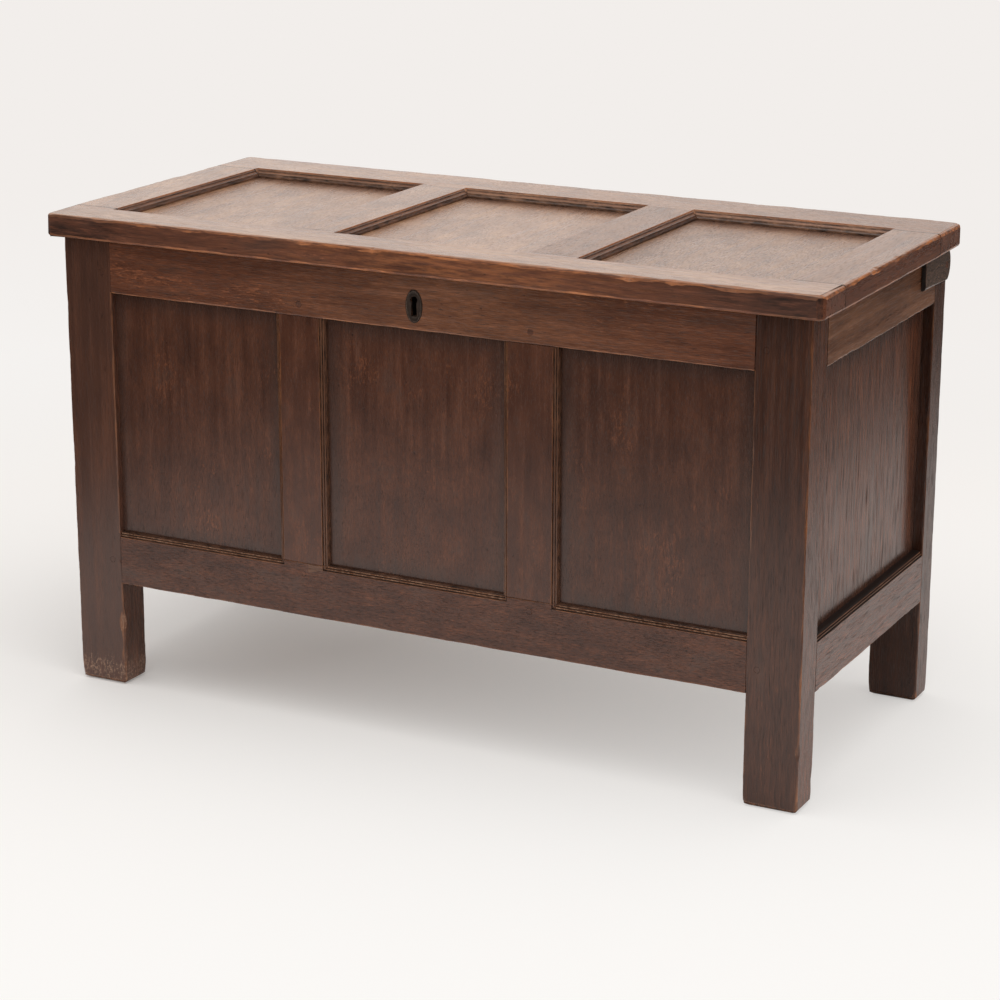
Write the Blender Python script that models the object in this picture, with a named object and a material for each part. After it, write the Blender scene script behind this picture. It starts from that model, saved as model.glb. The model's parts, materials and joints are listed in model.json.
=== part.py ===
"""Joined oak coffer: a panelled chest on four stile feet, with a panelled lid on pin hinges and an iron lock.

Metres, +Z up. The origin is on the floor under the middle of the lid, the front faces -Y and +X is to the
right of someone who stands in front. Every frame member, panel, board, peg and lock piece is its own object.
"""

import math

import bmesh
import bpy
from mathutils import Matrix, Vector

# Seams and play between the pieces
SEAM = 0.0003
PANEL_PLAY = 0.0010
HINGE_PLAY = 0.0005
STAPLE_PLAY = 0.0012

# Carcass, outside the corner stiles
CARCASS_LENGTH = 1.050
CARCASS_DEPTH = 0.478
CARCASS_HEIGHT = 0.618

# Corner stiles, whose lower ends are the feet
FRONT_STILE_WIDTH = 0.071
FRONT_STILE_DEPTH = 0.050
REAR_STILE_WIDTH = 0.068
REAR_STILE_DEPTH = 0.042

# Long rails of the front and the back, and the rails of the ends, over their mouldings
LONG_TOP_RAIL_WIDTH = 0.071
LONG_BOTTOM_RAIL_WIDTH = 0.073
LONG_BOTTOM_RAIL_RISE = 0.146
END_TOP_RAIL_WIDTH = 0.069
END_BOTTOM_RAIL_WIDTH = 0.072
END_BOTTOM_RAIL_RISE = 0.142
FRONT_RAIL_THICKNESS = 0.029
END_RAIL_THICKNESS = 0.027
BACK_RAIL_THICKNESS = 0.025

# Muntins over their mouldings, with the hand-made differences, as offsets from the middle of the coffer
FRONT_LEFT_MUNTIN_OFFSET = -0.167
FRONT_LEFT_MUNTIN_WIDTH = 0.072
FRONT_RIGHT_MUNTIN_OFFSET = 0.161
FRONT_RIGHT_MUNTIN_WIDTH = 0.076
BACK_MUNTIN_WIDTH = 0.060

# Panels: plain outside, feathered inside to a tongue that floats in grooves
PANEL_TONGUE = 0.006
PANEL_THICKNESS = 0.011
LID_PANEL_THICKNESS = 0.009
PANEL_FEATHER = 0.030
GROOVE_DEPTH = 0.008
FRONT_PANEL_SETBACK = 0.010
END_PANEL_SETBACK = 0.014
BACK_PANEL_SETBACK = 0.007
LID_PANEL_SETBACK = 0.012

# Mortise and tenon joints, and the pegs that hold them
TENON_THICKNESS = 0.009
TENON_SHOULDER = 0.004
PIN_TO_TENON = 0.0035
RAIL_TENON = 0.040
END_FRONT_TENON = 0.024
END_REAR_TENON = 0.022
MUNTIN_TENON = 0.030
LID_TENON = 0.036
PEG_DIAMETER = 0.008
PEG_END_ROOM = 0.003
PEG_SETBACK = 0.014

# Mouldings run on the framed edges, as (reach back from the edge, depth below the face)
FRAME_MOULDING = ((0.0070, 0.0004), (0.0064, 0.0022), (0.0055, 0.0023), (0.0051, 0.0013), (0.0038, 0.0016),
                  (0.0035, 0.0034), (0.0028, 0.0035), (0.0024, 0.0027), (0.0013, 0.0032), (0.0002, 0.0060))
LID_MOULDING = ((0.0075, 0.0004), (0.0068, 0.0018), (0.0058, 0.0022), (0.0050, 0.0040), (0.0034, 0.0054),
                (0.0022, 0.0060), (0.0016, 0.0080), (0.0002, 0.0096))

# Lid, which overhangs the carcass; its members are measured over their mouldings
LID_THICKNESS = 0.030
LID_END_OVERHANG = 0.018
LID_FRONT_OVERHANG = 0.017
LID_BACK_OVERHANG = 0.004
LID_FRONT_RAIL_WIDTH = 0.0705
LID_BACK_RAIL_WIDTH = 0.0855
LID_STILE_WIDTH = 0.0725
LID_MUNTIN_WIDTH = 0.081
LID_LEFT_MUNTIN_OFFSET = -0.174
LID_RIGHT_MUNTIN_OFFSET = 0.167

# Pin hinges: cleats under the lid's ends turn on pins in the rear stiles
HINGE_DROP = 0.022
LID_LEAN_ROOM = 0.003
HINGE_PIN_DIAMETER = 0.009
HINGE_PIN_GRIP = 0.036
CLEAT_THICKNESS = 0.0065
CLEAT_HEIGHT = 0.042
CLEAT_REAR_REACH = 0.014
CLEAT_FRONT_REACH = 0.082

# Floor boards, laid front to back in grooves of the long bottom rails
FLOOR_BOARD_COUNT = 4
FLOOR_BOARD_THICKNESS = 0.012
FLOOR_ABOVE_RAIL_EDGE = 0.014
FLOOR_GROOVE_DEPTH = 0.009

# Keyhole and its let-in oval plate
KEYHOLE_DROP = 0.041
KEYHOLE_TALL = 0.025
KEYHOLE_ROUND = 0.0090
KEYHOLE_SLOT = 0.0076
ESCUTCHEON_WIDTH = 0.0235
ESCUTCHEON_TALL = 0.042
ESCUTCHEON_THICKNESS = 0.002
ESCUTCHEON_PROUD = 0.0005

# Chest lock on the inside of the front top rail
LOCK_WIDTH = 0.104
LOCK_TALL = 0.056
LOCK_TOP_ROOM = 0.006
LOCK_PLATE_THICKNESS = 0.002
LOCK_CASE_DEPTH = 0.015
LOCK_CASE_WALL = 0.002
LOCK_LEDGE = 0.003
BOLT_TALL = 0.010
BOLT_TAIL = 0.040
BOLT_TAIL_START = -0.034
BOLT_TONGUE_TALL = 0.008
BOLT_TONGUE_THICKNESS = 0.0035
BOLT_NOTCH_WIDTH = 0.009
BOLT_NOTCH_DEPTH = 0.004
BOLT_TIP_ROOM = 0.003
STAPLE_OFFSET = 0.022
STAPLE_WIDTH = 0.006
STAPLE_LEG = 0.0020
STAPLE_EYE_DEPTH = 0.0055
STAPLE_EYE_TALL = 0.014
STAPLE_PLATE_THICKNESS = 0.002
STAPLE_PLATE_LENGTH = 0.044
STAPLE_PLATE_MARGIN = 0.0005

# How round shapes are faceted, and how far a cutter reaches past the face it enters
PEG_SIDES = 8
PIN_SIDES = 16
OVAL_SIDES = 32
ARC_STEPS = 8
CUT_OVER = 0.001

ROUND_ANGLE = math.radians(50)

# Colours as linear red, green and blue, with roughness
STAINED_OAK = ((0.052, 0.022, 0.013, 1.0), 0.42)
WORN_OAK = ((0.095, 0.055, 0.036, 1.0), 0.35)
BARE_OAK = ((0.130, 0.078, 0.045, 1.0), 0.70)
WROUGHT_IRON = ((0.020, 0.017, 0.015, 1.0), 0.55)

U, V, N = 0, 1, 2
X_AXIS = Vector((1, 0, 0))
Y_AXIS = Vector((0, 1, 0))
Z_AXIS = Vector((0, 0, 1))

# Places that follow from the sizes above
LID_LENGTH = CARCASS_LENGTH + 2 * LID_END_OVERHANG
LID_DEPTH = LID_FRONT_OVERHANG + CARCASS_DEPTH + LID_BACK_OVERHANG
LID_UNDERSIDE = CARCASS_HEIGHT + SEAM
LID_TOP = LID_UNDERSIDE + LID_THICKNESS
END_X = CARCASS_LENGTH / 2
FRONT_Y = LID_FRONT_OVERHANG - LID_DEPTH / 2
BACK_Y = FRONT_Y + CARCASS_DEPTH
FRONT_STILE_EDGE = END_X - FRONT_STILE_WIDTH
REAR_STILE_EDGE = END_X - REAR_STILE_WIDTH
HINGE_INSET = HINGE_DROP - LID_LEAN_ROOM
HINGE_Y = BACK_Y - HINGE_INSET
HINGE_Z = LID_UNDERSIDE - HINGE_DROP
LONG_OPENING = (LONG_BOTTOM_RAIL_RISE + LONG_BOTTOM_RAIL_WIDTH, CARCASS_HEIGHT - LONG_TOP_RAIL_WIDTH)
END_OPENING = (END_BOTTOM_RAIL_RISE + END_BOTTOM_RAIL_WIDTH, CARCASS_HEIGHT - END_TOP_RAIL_WIDTH)
TENON_EDGE = GROOVE_DEPTH + TENON_SHOULDER
TOP_RELISH = HINGE_DROP + HINGE_PIN_DIAMETER / 2 + PIN_TO_TENON
PEG_LENGTH = FRONT_RAIL_THICKNESS - PEG_END_ROOM
KEYHOLE_HEIGHT = CARCASS_HEIGHT - KEYHOLE_DROP


class Frame:
    """A face of the coffer seen from outside: u runs right, v up and n out of the face towards the viewer."""

    def __init__(self, name, origin, right, up, shift=(0, 0, 0)):
        self.empty = bpy.data.objects.new(name, None)
        turn = Matrix((right, up, right.cross(up))).transposed().to_4x4()
        self.empty.matrix_world = Matrix.Translation(origin) @ turn
        self.shift = Vector(shift)
        bpy.context.collection.objects.link(self.empty)


def clear_scene():
    for obj in list(bpy.data.objects):
        bpy.data.objects.remove(obj, do_unlink=True)


def finish(name, look, metallic):
    colour, roughness = look
    material = bpy.data.materials.new(name)
    material.use_nodes = True
    shader = material.node_tree.nodes["Principled BSDF"]
    shader.inputs["Base Color"].default_value = colour
    shader.inputs["Roughness"].default_value = roughness
    shader.inputs["Metallic"].default_value = metallic
    return material


def solid(name, frame, points, faces, material):
    """An object with its origin in the middle of its points; one with no material is a hidden cutter."""
    low = Vector([min(p[axis] for p in points) for axis in (U, V, N)])
    high = Vector([max(p[axis] for p in points) for axis in (U, V, N)])
    middle = (low + high) / 2
    mesh = bpy.data.meshes.new(name)
    mesh.from_pydata([Vector(p) - middle for p in points], [], faces)
    shape = bmesh.new()
    shape.from_mesh(mesh)
    bmesh.ops.recalc_face_normals(shape, faces=shape.faces)
    shape.to_mesh(mesh)
    shape.free()
    obj = bpy.data.objects.new(name, mesh)
    obj.parent = frame.empty
    obj.location = frame.shift + middle
    bpy.context.collection.objects.link(obj)
    if material:
        mesh.materials.append(material)
    else:
        obj.hide_render = True
        obj.display_type = "WIRE"
    return obj


def skin(rings):
    """Faces over rings of equally many points, with the first and last ring filled."""
    count = len(rings[0])
    faces = [list(range(count))]
    for ring in range(len(rings) - 1):
        for side in range(count):
            after = (side + 1) % count
            here = ring * count
            faces.append([here + side, here + after, here + count + after, here + count + side])
    faces.append([(len(rings) - 1) * count + side for side in range(count)])
    return [point for ring in rings for point in ring], faces


def across(along):
    """The two axes that lie across the one given."""
    return [axis for axis in (U, V, N) if axis != along]


def point_at(along, place, first, second):
    point = [0.0, 0.0, 0.0]
    point[along] = place
    point[across(along)[0]] = first
    point[across(along)[1]] = second
    return point


def loft(name, frame, along, sections, material=None):
    """A solid through rectangles set across one axis, each given as (place, (low, high), (low, high))."""
    rings = []
    for place, (a0, a1), (b0, b1) in sections:
        corners = ((a0, b0), (a1, b0), (a1, b1), (a0, b1))
        rings.append([point_at(along, place, a, b) for a, b in corners])
    return solid(name, frame, *skin(rings), material)


def box(name, frame, u, v, n, material=None):
    return loft(name, frame, N, [(n[0], u, v), (n[1], u, v)], material)


def prism(name, frame, along, outline, span, material=None):
    """A solid of one outline set across an axis, with its curved sides shaded smooth."""
    rings = [[point_at(along, place, a, b) for a, b in outline] for place in span]
    obj = solid(name, frame, *skin(rings), material)
    obj.data.shade_smooth()
    obj.data.set_sharp_from_angle(angle=ROUND_ANGLE)
    return obj


def cut(target, cutter, operation="DIFFERENCE"):
    modifier = target.modifiers.new(cutter.name, "BOOLEAN")
    modifier.operation = operation
    modifier.object = cutter
    modifier.solver = "EXACT"


def grown(span, amount):
    return (span[0] - amount, span[1] + amount)


def ellipse(u, v, width, tall, sides):
    turns = [2 * math.pi * (step + 0.5) / sides for step in range(sides)]
    return [(u + width / 2 * math.cos(turn), v + tall / 2 * math.sin(turn)) for turn in turns]


def keyhole_outline(u, v):
    """A round head over a parallel slot, with its middle at u, v."""
    radius = KEYHOLE_ROUND / 2
    half_slot = KEYHOLE_SLOT / 2
    head = v + KEYHOLE_TALL / 2 - KEYHOLE_ROUND / 2
    foot = v - KEYHOLE_TALL / 2
    meet = math.asin(half_slot / radius)
    start = -math.pi / 2 + meet
    sweep = 2 * math.pi - 2 * meet
    turns = [start + sweep * step / PIN_SIDES for step in range(PIN_SIDES + 1)]
    arc = [(u + radius * math.cos(turn), head + radius * math.sin(turn)) for turn in turns]
    return arc + [(u - half_slot, foot), (u + half_slot, foot)]


def tenon_depth(setback):
    """The tenon's span through the frame's thickness, centred on the panel's groove."""
    middle = -setback - PANEL_TONGUE / 2
    return (middle - TENON_THICKNESS / 2, middle + TENON_THICKNESS / 2)


def tenoned(name, frame, along, span, width, depth, tenon_width, lengths, setback, material):
    """A member between two shoulders with a tenon at each end, and a mortise cutter for each end."""
    start, end = span[0] + SEAM, span[1] - SEAM
    thin = tenon_depth(setback)
    sections = [(start - lengths[0], tenon_width, thin), (start, tenon_width, thin), (start, width, depth),
                (end, width, depth), (end, tenon_width, thin), (end + lengths[1], tenon_width, thin)]
    member = loft(name, frame, along, sections, material)
    mortises = []
    ends = ((start - lengths[0] - SEAM, start + CUT_OVER), (end - CUT_OVER, end + lengths[1] + SEAM))
    for side, reach in zip(("low", "high"), ends):
        hole = [(place, grown(tenon_width, SEAM), grown(thin, SEAM)) for place in reach]
        mortises.append(loft(f"cut_{name}_{side}_mortise", frame, along, hole))
    return member, mortises


def panel(name, frame, u, v, setback, thickness, members, material):
    """A floating panel for the opening u by v, and the groove for it in the members around."""
    seat = (-setback - PANEL_TONGUE - SEAM, -setback + SEAM)
    groove = box(f"cut_{name}_groove", frame, grown(u, GROOVE_DEPTH), grown(v, GROOVE_DEPTH), seat)
    for member in members:
        cut(member, groove)
    edge = GROOVE_DEPTH - PANEL_PLAY
    lip = -PANEL_PLAY
    field = -PANEL_FEATHER
    back = -setback - PANEL_TONGUE
    steps = ((-setback, edge), (back, edge), (back, lip), (-setback - thickness, field))
    sections = [(place, grown(u, amount), grown(v, amount)) for place, amount in steps]
    return loft(name, frame, N, sections, material)


def moulding(name, frame, u, v, profile, sides, members):
    """Runs a moulding round the opening u by v, where sides flags its left, right, low and high edges."""
    left, right, low, high = sides
    sections = []
    for reach, depth in ((profile[0][0], -CUT_OVER),) + profile:
        wide = (u[0] - reach * left, u[1] + reach * right)
        tall = (v[0] - reach * low, v[1] + reach * high)
        sections.append((-depth, wide, tall))
    cutter = loft(f"cut_{name}_moulding", frame, N, sections)
    for member in members:
        cut(member, cutter)


def peg(name, frame, u, v, members, material):
    """A round peg driven in flush from the face, through the members given."""
    prism_of = ellipse(u, v, PEG_DIAMETER, PEG_DIAMETER, PEG_SIDES)
    hole_size = PEG_DIAMETER + 2 * SEAM
    hole_of = ellipse(u, v, hole_size, hole_size, PEG_SIDES)
    hole = prism(f"cut_{name}_hole", frame, N, hole_of, (-PEG_LENGTH - SEAM, CUT_OVER))
    for member in members:
        cut(member, hole)
    return prism(name, frame, N, prism_of, (-PEG_LENGTH, 0.0), material)


def corner_stiles(front, back, oak):
    """The four corner stiles; the back's left and right are swapped, because it is seen from behind."""
    tall = (0.0, CARCASS_HEIGHT)
    front_depth = (-FRONT_STILE_DEPTH, 0.0)
    rear_depth = (-REAR_STILE_DEPTH, 0.0)
    stiles = {}
    for side, sign in (("left", -1), ("right", 1)):
        wide = sorted((sign * FRONT_STILE_EDGE, sign * END_X))
        stiles["front", side] = box(f"front_{side}_stile", front, wide, tall, front_depth, oak)
        wide = sorted((-sign * REAR_STILE_EDGE, -sign * END_X))
        stiles["rear", side] = box(f"rear_{side}_stile", back, wide, tall, rear_depth, oak)
    return stiles


def rail_widths(rise, width):
    """The top and bottom rails' spans and their tenons' spans, as heights, for one face."""
    top = (CARCASS_HEIGHT - width[0], CARCASS_HEIGHT)
    bottom = (rise, rise + width[1])
    top_tenon = (top[0] + TENON_EDGE, top[1] - TOP_RELISH)
    bottom_tenon = (bottom[0] + TENON_SHOULDER, bottom[1] - TENON_EDGE)
    return {"top": (top, top_tenon), "bottom": (bottom, bottom_tenon)}


def long_rails(face, frame, edge, thickness, setback, stiles, oak):
    """The top and bottom rails of the front or back, between its left and right stiles seen from outside."""
    rails = {}
    widths = rail_widths(LONG_BOTTOM_RAIL_RISE, (LONG_TOP_RAIL_WIDTH, LONG_BOTTOM_RAIL_WIDTH))
    for place, (width, tenon_width) in widths.items():
        rail, mortises = tenoned(f"{face}_{place}_rail", frame, U, (-edge, edge), width, (-thickness, 0.0),
                                 tenon_width, (RAIL_TENON, RAIL_TENON), setback, oak)
        for stile, mortise in zip(stiles, mortises):
            cut(stile, mortise)
        rails[place] = rail
    return rails


def long_muntin(name, frame, middle, width, thickness, setback, rails, oak):
    wide = (middle - width / 2, middle + width / 2)
    tenon_width = grown(wide, -TENON_EDGE)
    muntin, mortises = tenoned(name, frame, V, LONG_OPENING, wide, (-thickness, 0.0),
                               tenon_width, (MUNTIN_TENON, MUNTIN_TENON), setback, oak)
    cut(rails["bottom"], mortises[0])
    cut(rails["top"], mortises[1])
    return muntin, wide


def long_pegs(frame, stiles, rails, muntins, oak):
    """One peg through each joint of the front frame."""
    heights = rail_widths(LONG_BOTTOM_RAIL_RISE, (LONG_TOP_RAIL_WIDTH, LONG_BOTTOM_RAIL_WIDTH))
    for place, (_, tenon_width) in heights.items():
        height = sum(tenon_width) / 2
        for side, sign in (("left", -1), ("right", 1)):
            u = sign * (FRONT_STILE_EDGE + PEG_SETBACK)
            peg(f"front_{side}_{place}_peg", frame, u, height, (stiles[side], rails[place]), oak)
    middles = {"top": LONG_OPENING[1] + MUNTIN_TENON / 2, "bottom": LONG_OPENING[0] - MUNTIN_TENON / 2}
    for place, height in middles.items():
        for side, (muntin, wide) in muntins.items():
            u = sum(wide) / 2
            peg(f"front_{side}_muntin_{place}_peg", frame, u, height, (rails[place], muntin), oak)


def front_frame(frame, stiles, oak):
    """Two rails, two muntins and three panels between the front stiles; bottom rail and muntins are moulded."""
    corner = {"left": stiles["front", "left"], "right": stiles["front", "right"]}
    rails = long_rails("front", frame, FRONT_STILE_EDGE, FRONT_RAIL_THICKNESS, FRONT_PANEL_SETBACK,
                       corner.values(), oak)
    places = (("left", FRONT_LEFT_MUNTIN_OFFSET, FRONT_LEFT_MUNTIN_WIDTH),
              ("right", FRONT_RIGHT_MUNTIN_OFFSET, FRONT_RIGHT_MUNTIN_WIDTH))
    muntins = {}
    for side, middle, width in places:
        muntins[side] = long_muntin(f"front_{side}_muntin", frame, middle, width, FRONT_RAIL_THICKNESS,
                                    FRONT_PANEL_SETBACK, rails, oak)
    (left, left_wide), (right, right_wide) = muntins["left"], muntins["right"]
    openings = (("left", (-FRONT_STILE_EDGE, left_wide[0]), corner["left"], left, (0, 1, 1, 0)),
                ("middle", (left_wide[1], right_wide[0]), left, right, (1, 1, 1, 0)),
                ("right", (right_wide[1], FRONT_STILE_EDGE), right, corner["right"], (1, 0, 1, 0)))
    for side, wide, before, after, moulded in openings:
        around = (before, after, rails["top"], rails["bottom"])
        name = f"front_{side}_panel"
        panel(name, frame, wide, LONG_OPENING, FRONT_PANEL_SETBACK, PANEL_THICKNESS, around, oak)
        edged = [member for member in (before, after, rails["bottom"]) if member not in corner.values()]
        moulding(name, frame, wide, LONG_OPENING, FRAME_MOULDING, moulded, edged)
    long_pegs(frame, corner, rails, muntins, oak)
    return rails


def back_frame(frame, stiles, oak):
    """Two rails, one muntin and two panels between the rear stiles, left plain."""
    corner = (stiles["rear", "right"], stiles["rear", "left"])
    rails = long_rails("back", frame, REAR_STILE_EDGE, BACK_RAIL_THICKNESS, BACK_PANEL_SETBACK, corner, oak)
    muntin, wide = long_muntin("back_muntin", frame, 0.0, BACK_MUNTIN_WIDTH, BACK_RAIL_THICKNESS,
                               BACK_PANEL_SETBACK, rails, oak)
    openings = (("right", (-REAR_STILE_EDGE, wide[0]), corner[0]),
                ("left", (wide[1], REAR_STILE_EDGE), corner[1]))
    for side, span, stile in openings:
        name = f"back_{side}_panel"
        around = (stile, muntin, rails["top"], rails["bottom"])
        panel(name, frame, span, LONG_OPENING, BACK_PANEL_SETBACK, PANEL_THICKNESS, around, oak)
    return rails


def end_frame(side, frame, front_is_low, stiles, oak):
    """Two rails and a panel between two stiles; front_is_low where u runs from front to back."""
    front_edge = FRONT_Y + FRONT_STILE_DEPTH
    rear_edge = BACK_Y - REAR_STILE_DEPTH
    span = (front_edge, rear_edge) if front_is_low else (-rear_edge, -front_edge)
    lengths = (END_FRONT_TENON, END_REAR_TENON)
    corner = (stiles["front", side], stiles["rear", side])
    names = ("front", "rear")
    if not front_is_low:
        lengths, corner, names = lengths[::-1], corner[::-1], names[::-1]
    rails = []
    widths = rail_widths(END_BOTTOM_RAIL_RISE, (END_TOP_RAIL_WIDTH, END_BOTTOM_RAIL_WIDTH))
    for place, (width, tenon_width) in widths.items():
        depth = (-END_RAIL_THICKNESS, 0.0)
        rail, mortises = tenoned(f"{side}_end_{place}_rail", frame, U, span, width, depth,
                                 tenon_width, lengths, END_PANEL_SETBACK, oak)
        rails.append(rail)
        outward = (span[0] - PEG_SETBACK, span[1] + PEG_SETBACK)
        for stile, mortise, name, u in zip(corner, mortises, names, outward):
            cut(stile, mortise)
            peg(f"{side}_end_{name}_{place}_peg", frame, u, sum(tenon_width) / 2, (stile, rail), oak)
    name = f"{side}_end_panel"
    panel(name, frame, span, END_OPENING, END_PANEL_SETBACK, PANEL_THICKNESS, (*corner, *rails), oak)
    moulding(name, frame, span, END_OPENING, FRAME_MOULDING, (0, 0, 1, 0), rails[1:])


def round_back_arris(floor, members):
    """Rounds the carcass's top back edge about the hinge, so that the lid's rear edge swings down past it."""
    y, z = HINGE_Y, CARCASS_HEIGHT - HINGE_INSET
    turns = [math.pi / 2 * step / ARC_STEPS for step in range(ARC_STEPS + 1)]
    arc = [(y + HINGE_INSET * math.cos(turn), z + HINGE_INSET * math.sin(turn)) for turn in turns]
    over = HINGE_INSET / 2
    corner = (BACK_Y + over, CARCASS_HEIGHT + over)
    outline = arc + [(y, corner[1]), corner, (corner[0], z)]
    cutter = prism("cut_back_arris", floor, U, outline, grown((-END_X, END_X), over))
    for member in members:
        cut(member, cutter)


def floor_boards(floor, rails, oak):
    """Boards side by side in the long rails' grooves, the outer ones notched round the corner stiles."""
    low = LONG_BOTTOM_RAIL_RISE + FLOOR_ABOVE_RAIL_EDGE
    tall = (low, low + FLOOR_BOARD_THICKNESS)
    front_in = FRONT_Y + FRONT_RAIL_THICKNESS
    back_in = BACK_Y - BACK_RAIL_THICKNESS
    deep = (front_in - FLOOR_GROOVE_DEPTH, back_in + FLOOR_GROOVE_DEPTH)
    groove = box("cut_floor_groove", floor, (-END_X, END_X), deep, grown(tall, SEAM))
    for rail in rails:
        cut(rail, groove)
    reliefs = []
    for side, sign in (("left", -1), ("right", 1)):
        corners = ((FRONT_STILE_EDGE, (FRONT_Y, FRONT_Y + FRONT_STILE_DEPTH)),
                   (REAR_STILE_EDGE, (BACK_Y - REAR_STILE_DEPTH, BACK_Y)))
        for place, (edge, depth) in zip(("front", "rear"), corners):
            wide = grown(sorted((sign * edge, sign * END_X)), SEAM)
            name = f"cut_floor_{place}_{side}_notch"
            reliefs.append((sign, box(name, floor, wide, grown(depth, SEAM), grown(tall, CUT_OVER))))
    inside = END_X - END_RAIL_THICKNESS - SEAM
    board = 2 * inside / FLOOR_BOARD_COUNT
    for index in range(FLOOR_BOARD_COUNT):
        start = -inside + index * board
        wide = (start + SEAM / 2, start + board - SEAM / 2)
        plank = box(f"floor_board_{index + 1}", floor, wide, grown(deep, -SEAM), tall, oak)
        for sign, relief in reliefs:
            if index == 0 and sign < 0 or index == FLOOR_BOARD_COUNT - 1 and sign > 0:
                cut(plank, relief)


def lid_frame(lid, oak):
    """Full-length front and back rails, with stiles and muntins tenoned between them round three panels."""
    end = LID_LENGTH / 2
    front, back = -LID_DEPTH / 2, LID_DEPTH / 2
    deep = (-LID_THICKNESS, 0.0)
    opening = (front + LID_FRONT_RAIL_WIDTH, back - LID_BACK_RAIL_WIDTH)
    front_rail = box("lid_front_rail", lid, (-end, end), (front, opening[0]), deep, oak)
    back_rail = box("lid_back_rail", lid, (-end, end), (opening[1], back), deep, oak)
    half = LID_MUNTIN_WIDTH / 2
    places = (("lid_left_stile", (-end, -end + LID_STILE_WIDTH)),
              ("lid_left_muntin", (LID_LEFT_MUNTIN_OFFSET - half, LID_LEFT_MUNTIN_OFFSET + half)),
              ("lid_right_muntin", (LID_RIGHT_MUNTIN_OFFSET - half, LID_RIGHT_MUNTIN_OFFSET + half)),
              ("lid_right_stile", (end - LID_STILE_WIDTH, end)))
    uprights = []
    for name, wide in places:
        member, mortises = tenoned(name, lid, V, opening, wide, deep, grown(wide, -TENON_EDGE),
                                   (LID_TENON, LID_TENON), LID_PANEL_SETBACK, oak)
        cut(front_rail, mortises[0])
        cut(back_rail, mortises[1])
        uprights.append((member, wide))
    for side, (before, low), (after, high) in zip(("left", "middle", "right"), uprights, uprights[1:]):
        around = (before, after, front_rail, back_rail)
        span = (low[1], high[0])
        name = f"lid_{side}_panel"
        panel(name, lid, span, opening, LID_PANEL_SETBACK, LID_PANEL_THICKNESS, around, oak)
        moulding(name, lid, span, opening, LID_MOULDING, (1, 1, 1, 1), around)
    return front_rail


def hinges(lid, ends, stiles, oak):
    """A cleat with a rounded rear end under each end of the lid, and the pin that it turns on."""
    top = -LID_THICKNESS - SEAM
    bottom = top - CLEAT_HEIGHT
    middle = (top + bottom) / 2
    half = CLEAT_HEIGHT / 2
    turns = [math.pi / 2 - math.pi * step / (2 * ARC_STEPS) for step in range(2 * ARC_STEPS + 1)]
    rear = [(HINGE_Y + CLEAT_REAR_REACH * math.cos(turn), middle + half * math.sin(turn)) for turn in turns]
    front = HINGE_Y - CLEAT_FRONT_REACH
    outline = rear + [(front, bottom), (front, top)]
    inner = END_X + HINGE_PLAY
    outer = inner + CLEAT_THICKNESS
    hole_size = HINGE_PIN_DIAMETER + 2 * HINGE_PLAY
    for side, sign in (("left", -1), ("right", 1)):
        cleat = prism(f"{side}_hinge_cleat", lid, U, outline, sorted((sign * inner, sign * outer)), oak)
        frame = ends[side]
        u = sign * HINGE_Y
        pin_of = ellipse(u, HINGE_Z, HINGE_PIN_DIAMETER, HINGE_PIN_DIAMETER, PIN_SIDES)
        hole_of = ellipse(u, HINGE_Z, hole_size, hole_size, PIN_SIDES)
        bed_size = HINGE_PIN_DIAMETER + 2 * SEAM
        bed_of = ellipse(u, HINGE_Z, bed_size, bed_size, PIN_SIDES)
        reach = HINGE_PLAY + CLEAT_THICKNESS
        hole = prism(f"cut_{side}_hinge_hole", frame, N, hole_of, (0.0, reach + CUT_OVER))
        bed = prism(f"cut_{side}_hinge_bed", frame, N, bed_of, (-HINGE_PIN_GRIP - SEAM, CUT_OVER))
        cut(cleat, hole)
        cut(stiles["rear", side], bed)
        prism(f"{side}_hinge_pin", frame, N, pin_of, (-HINGE_PIN_GRIP, reach), oak)


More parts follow.
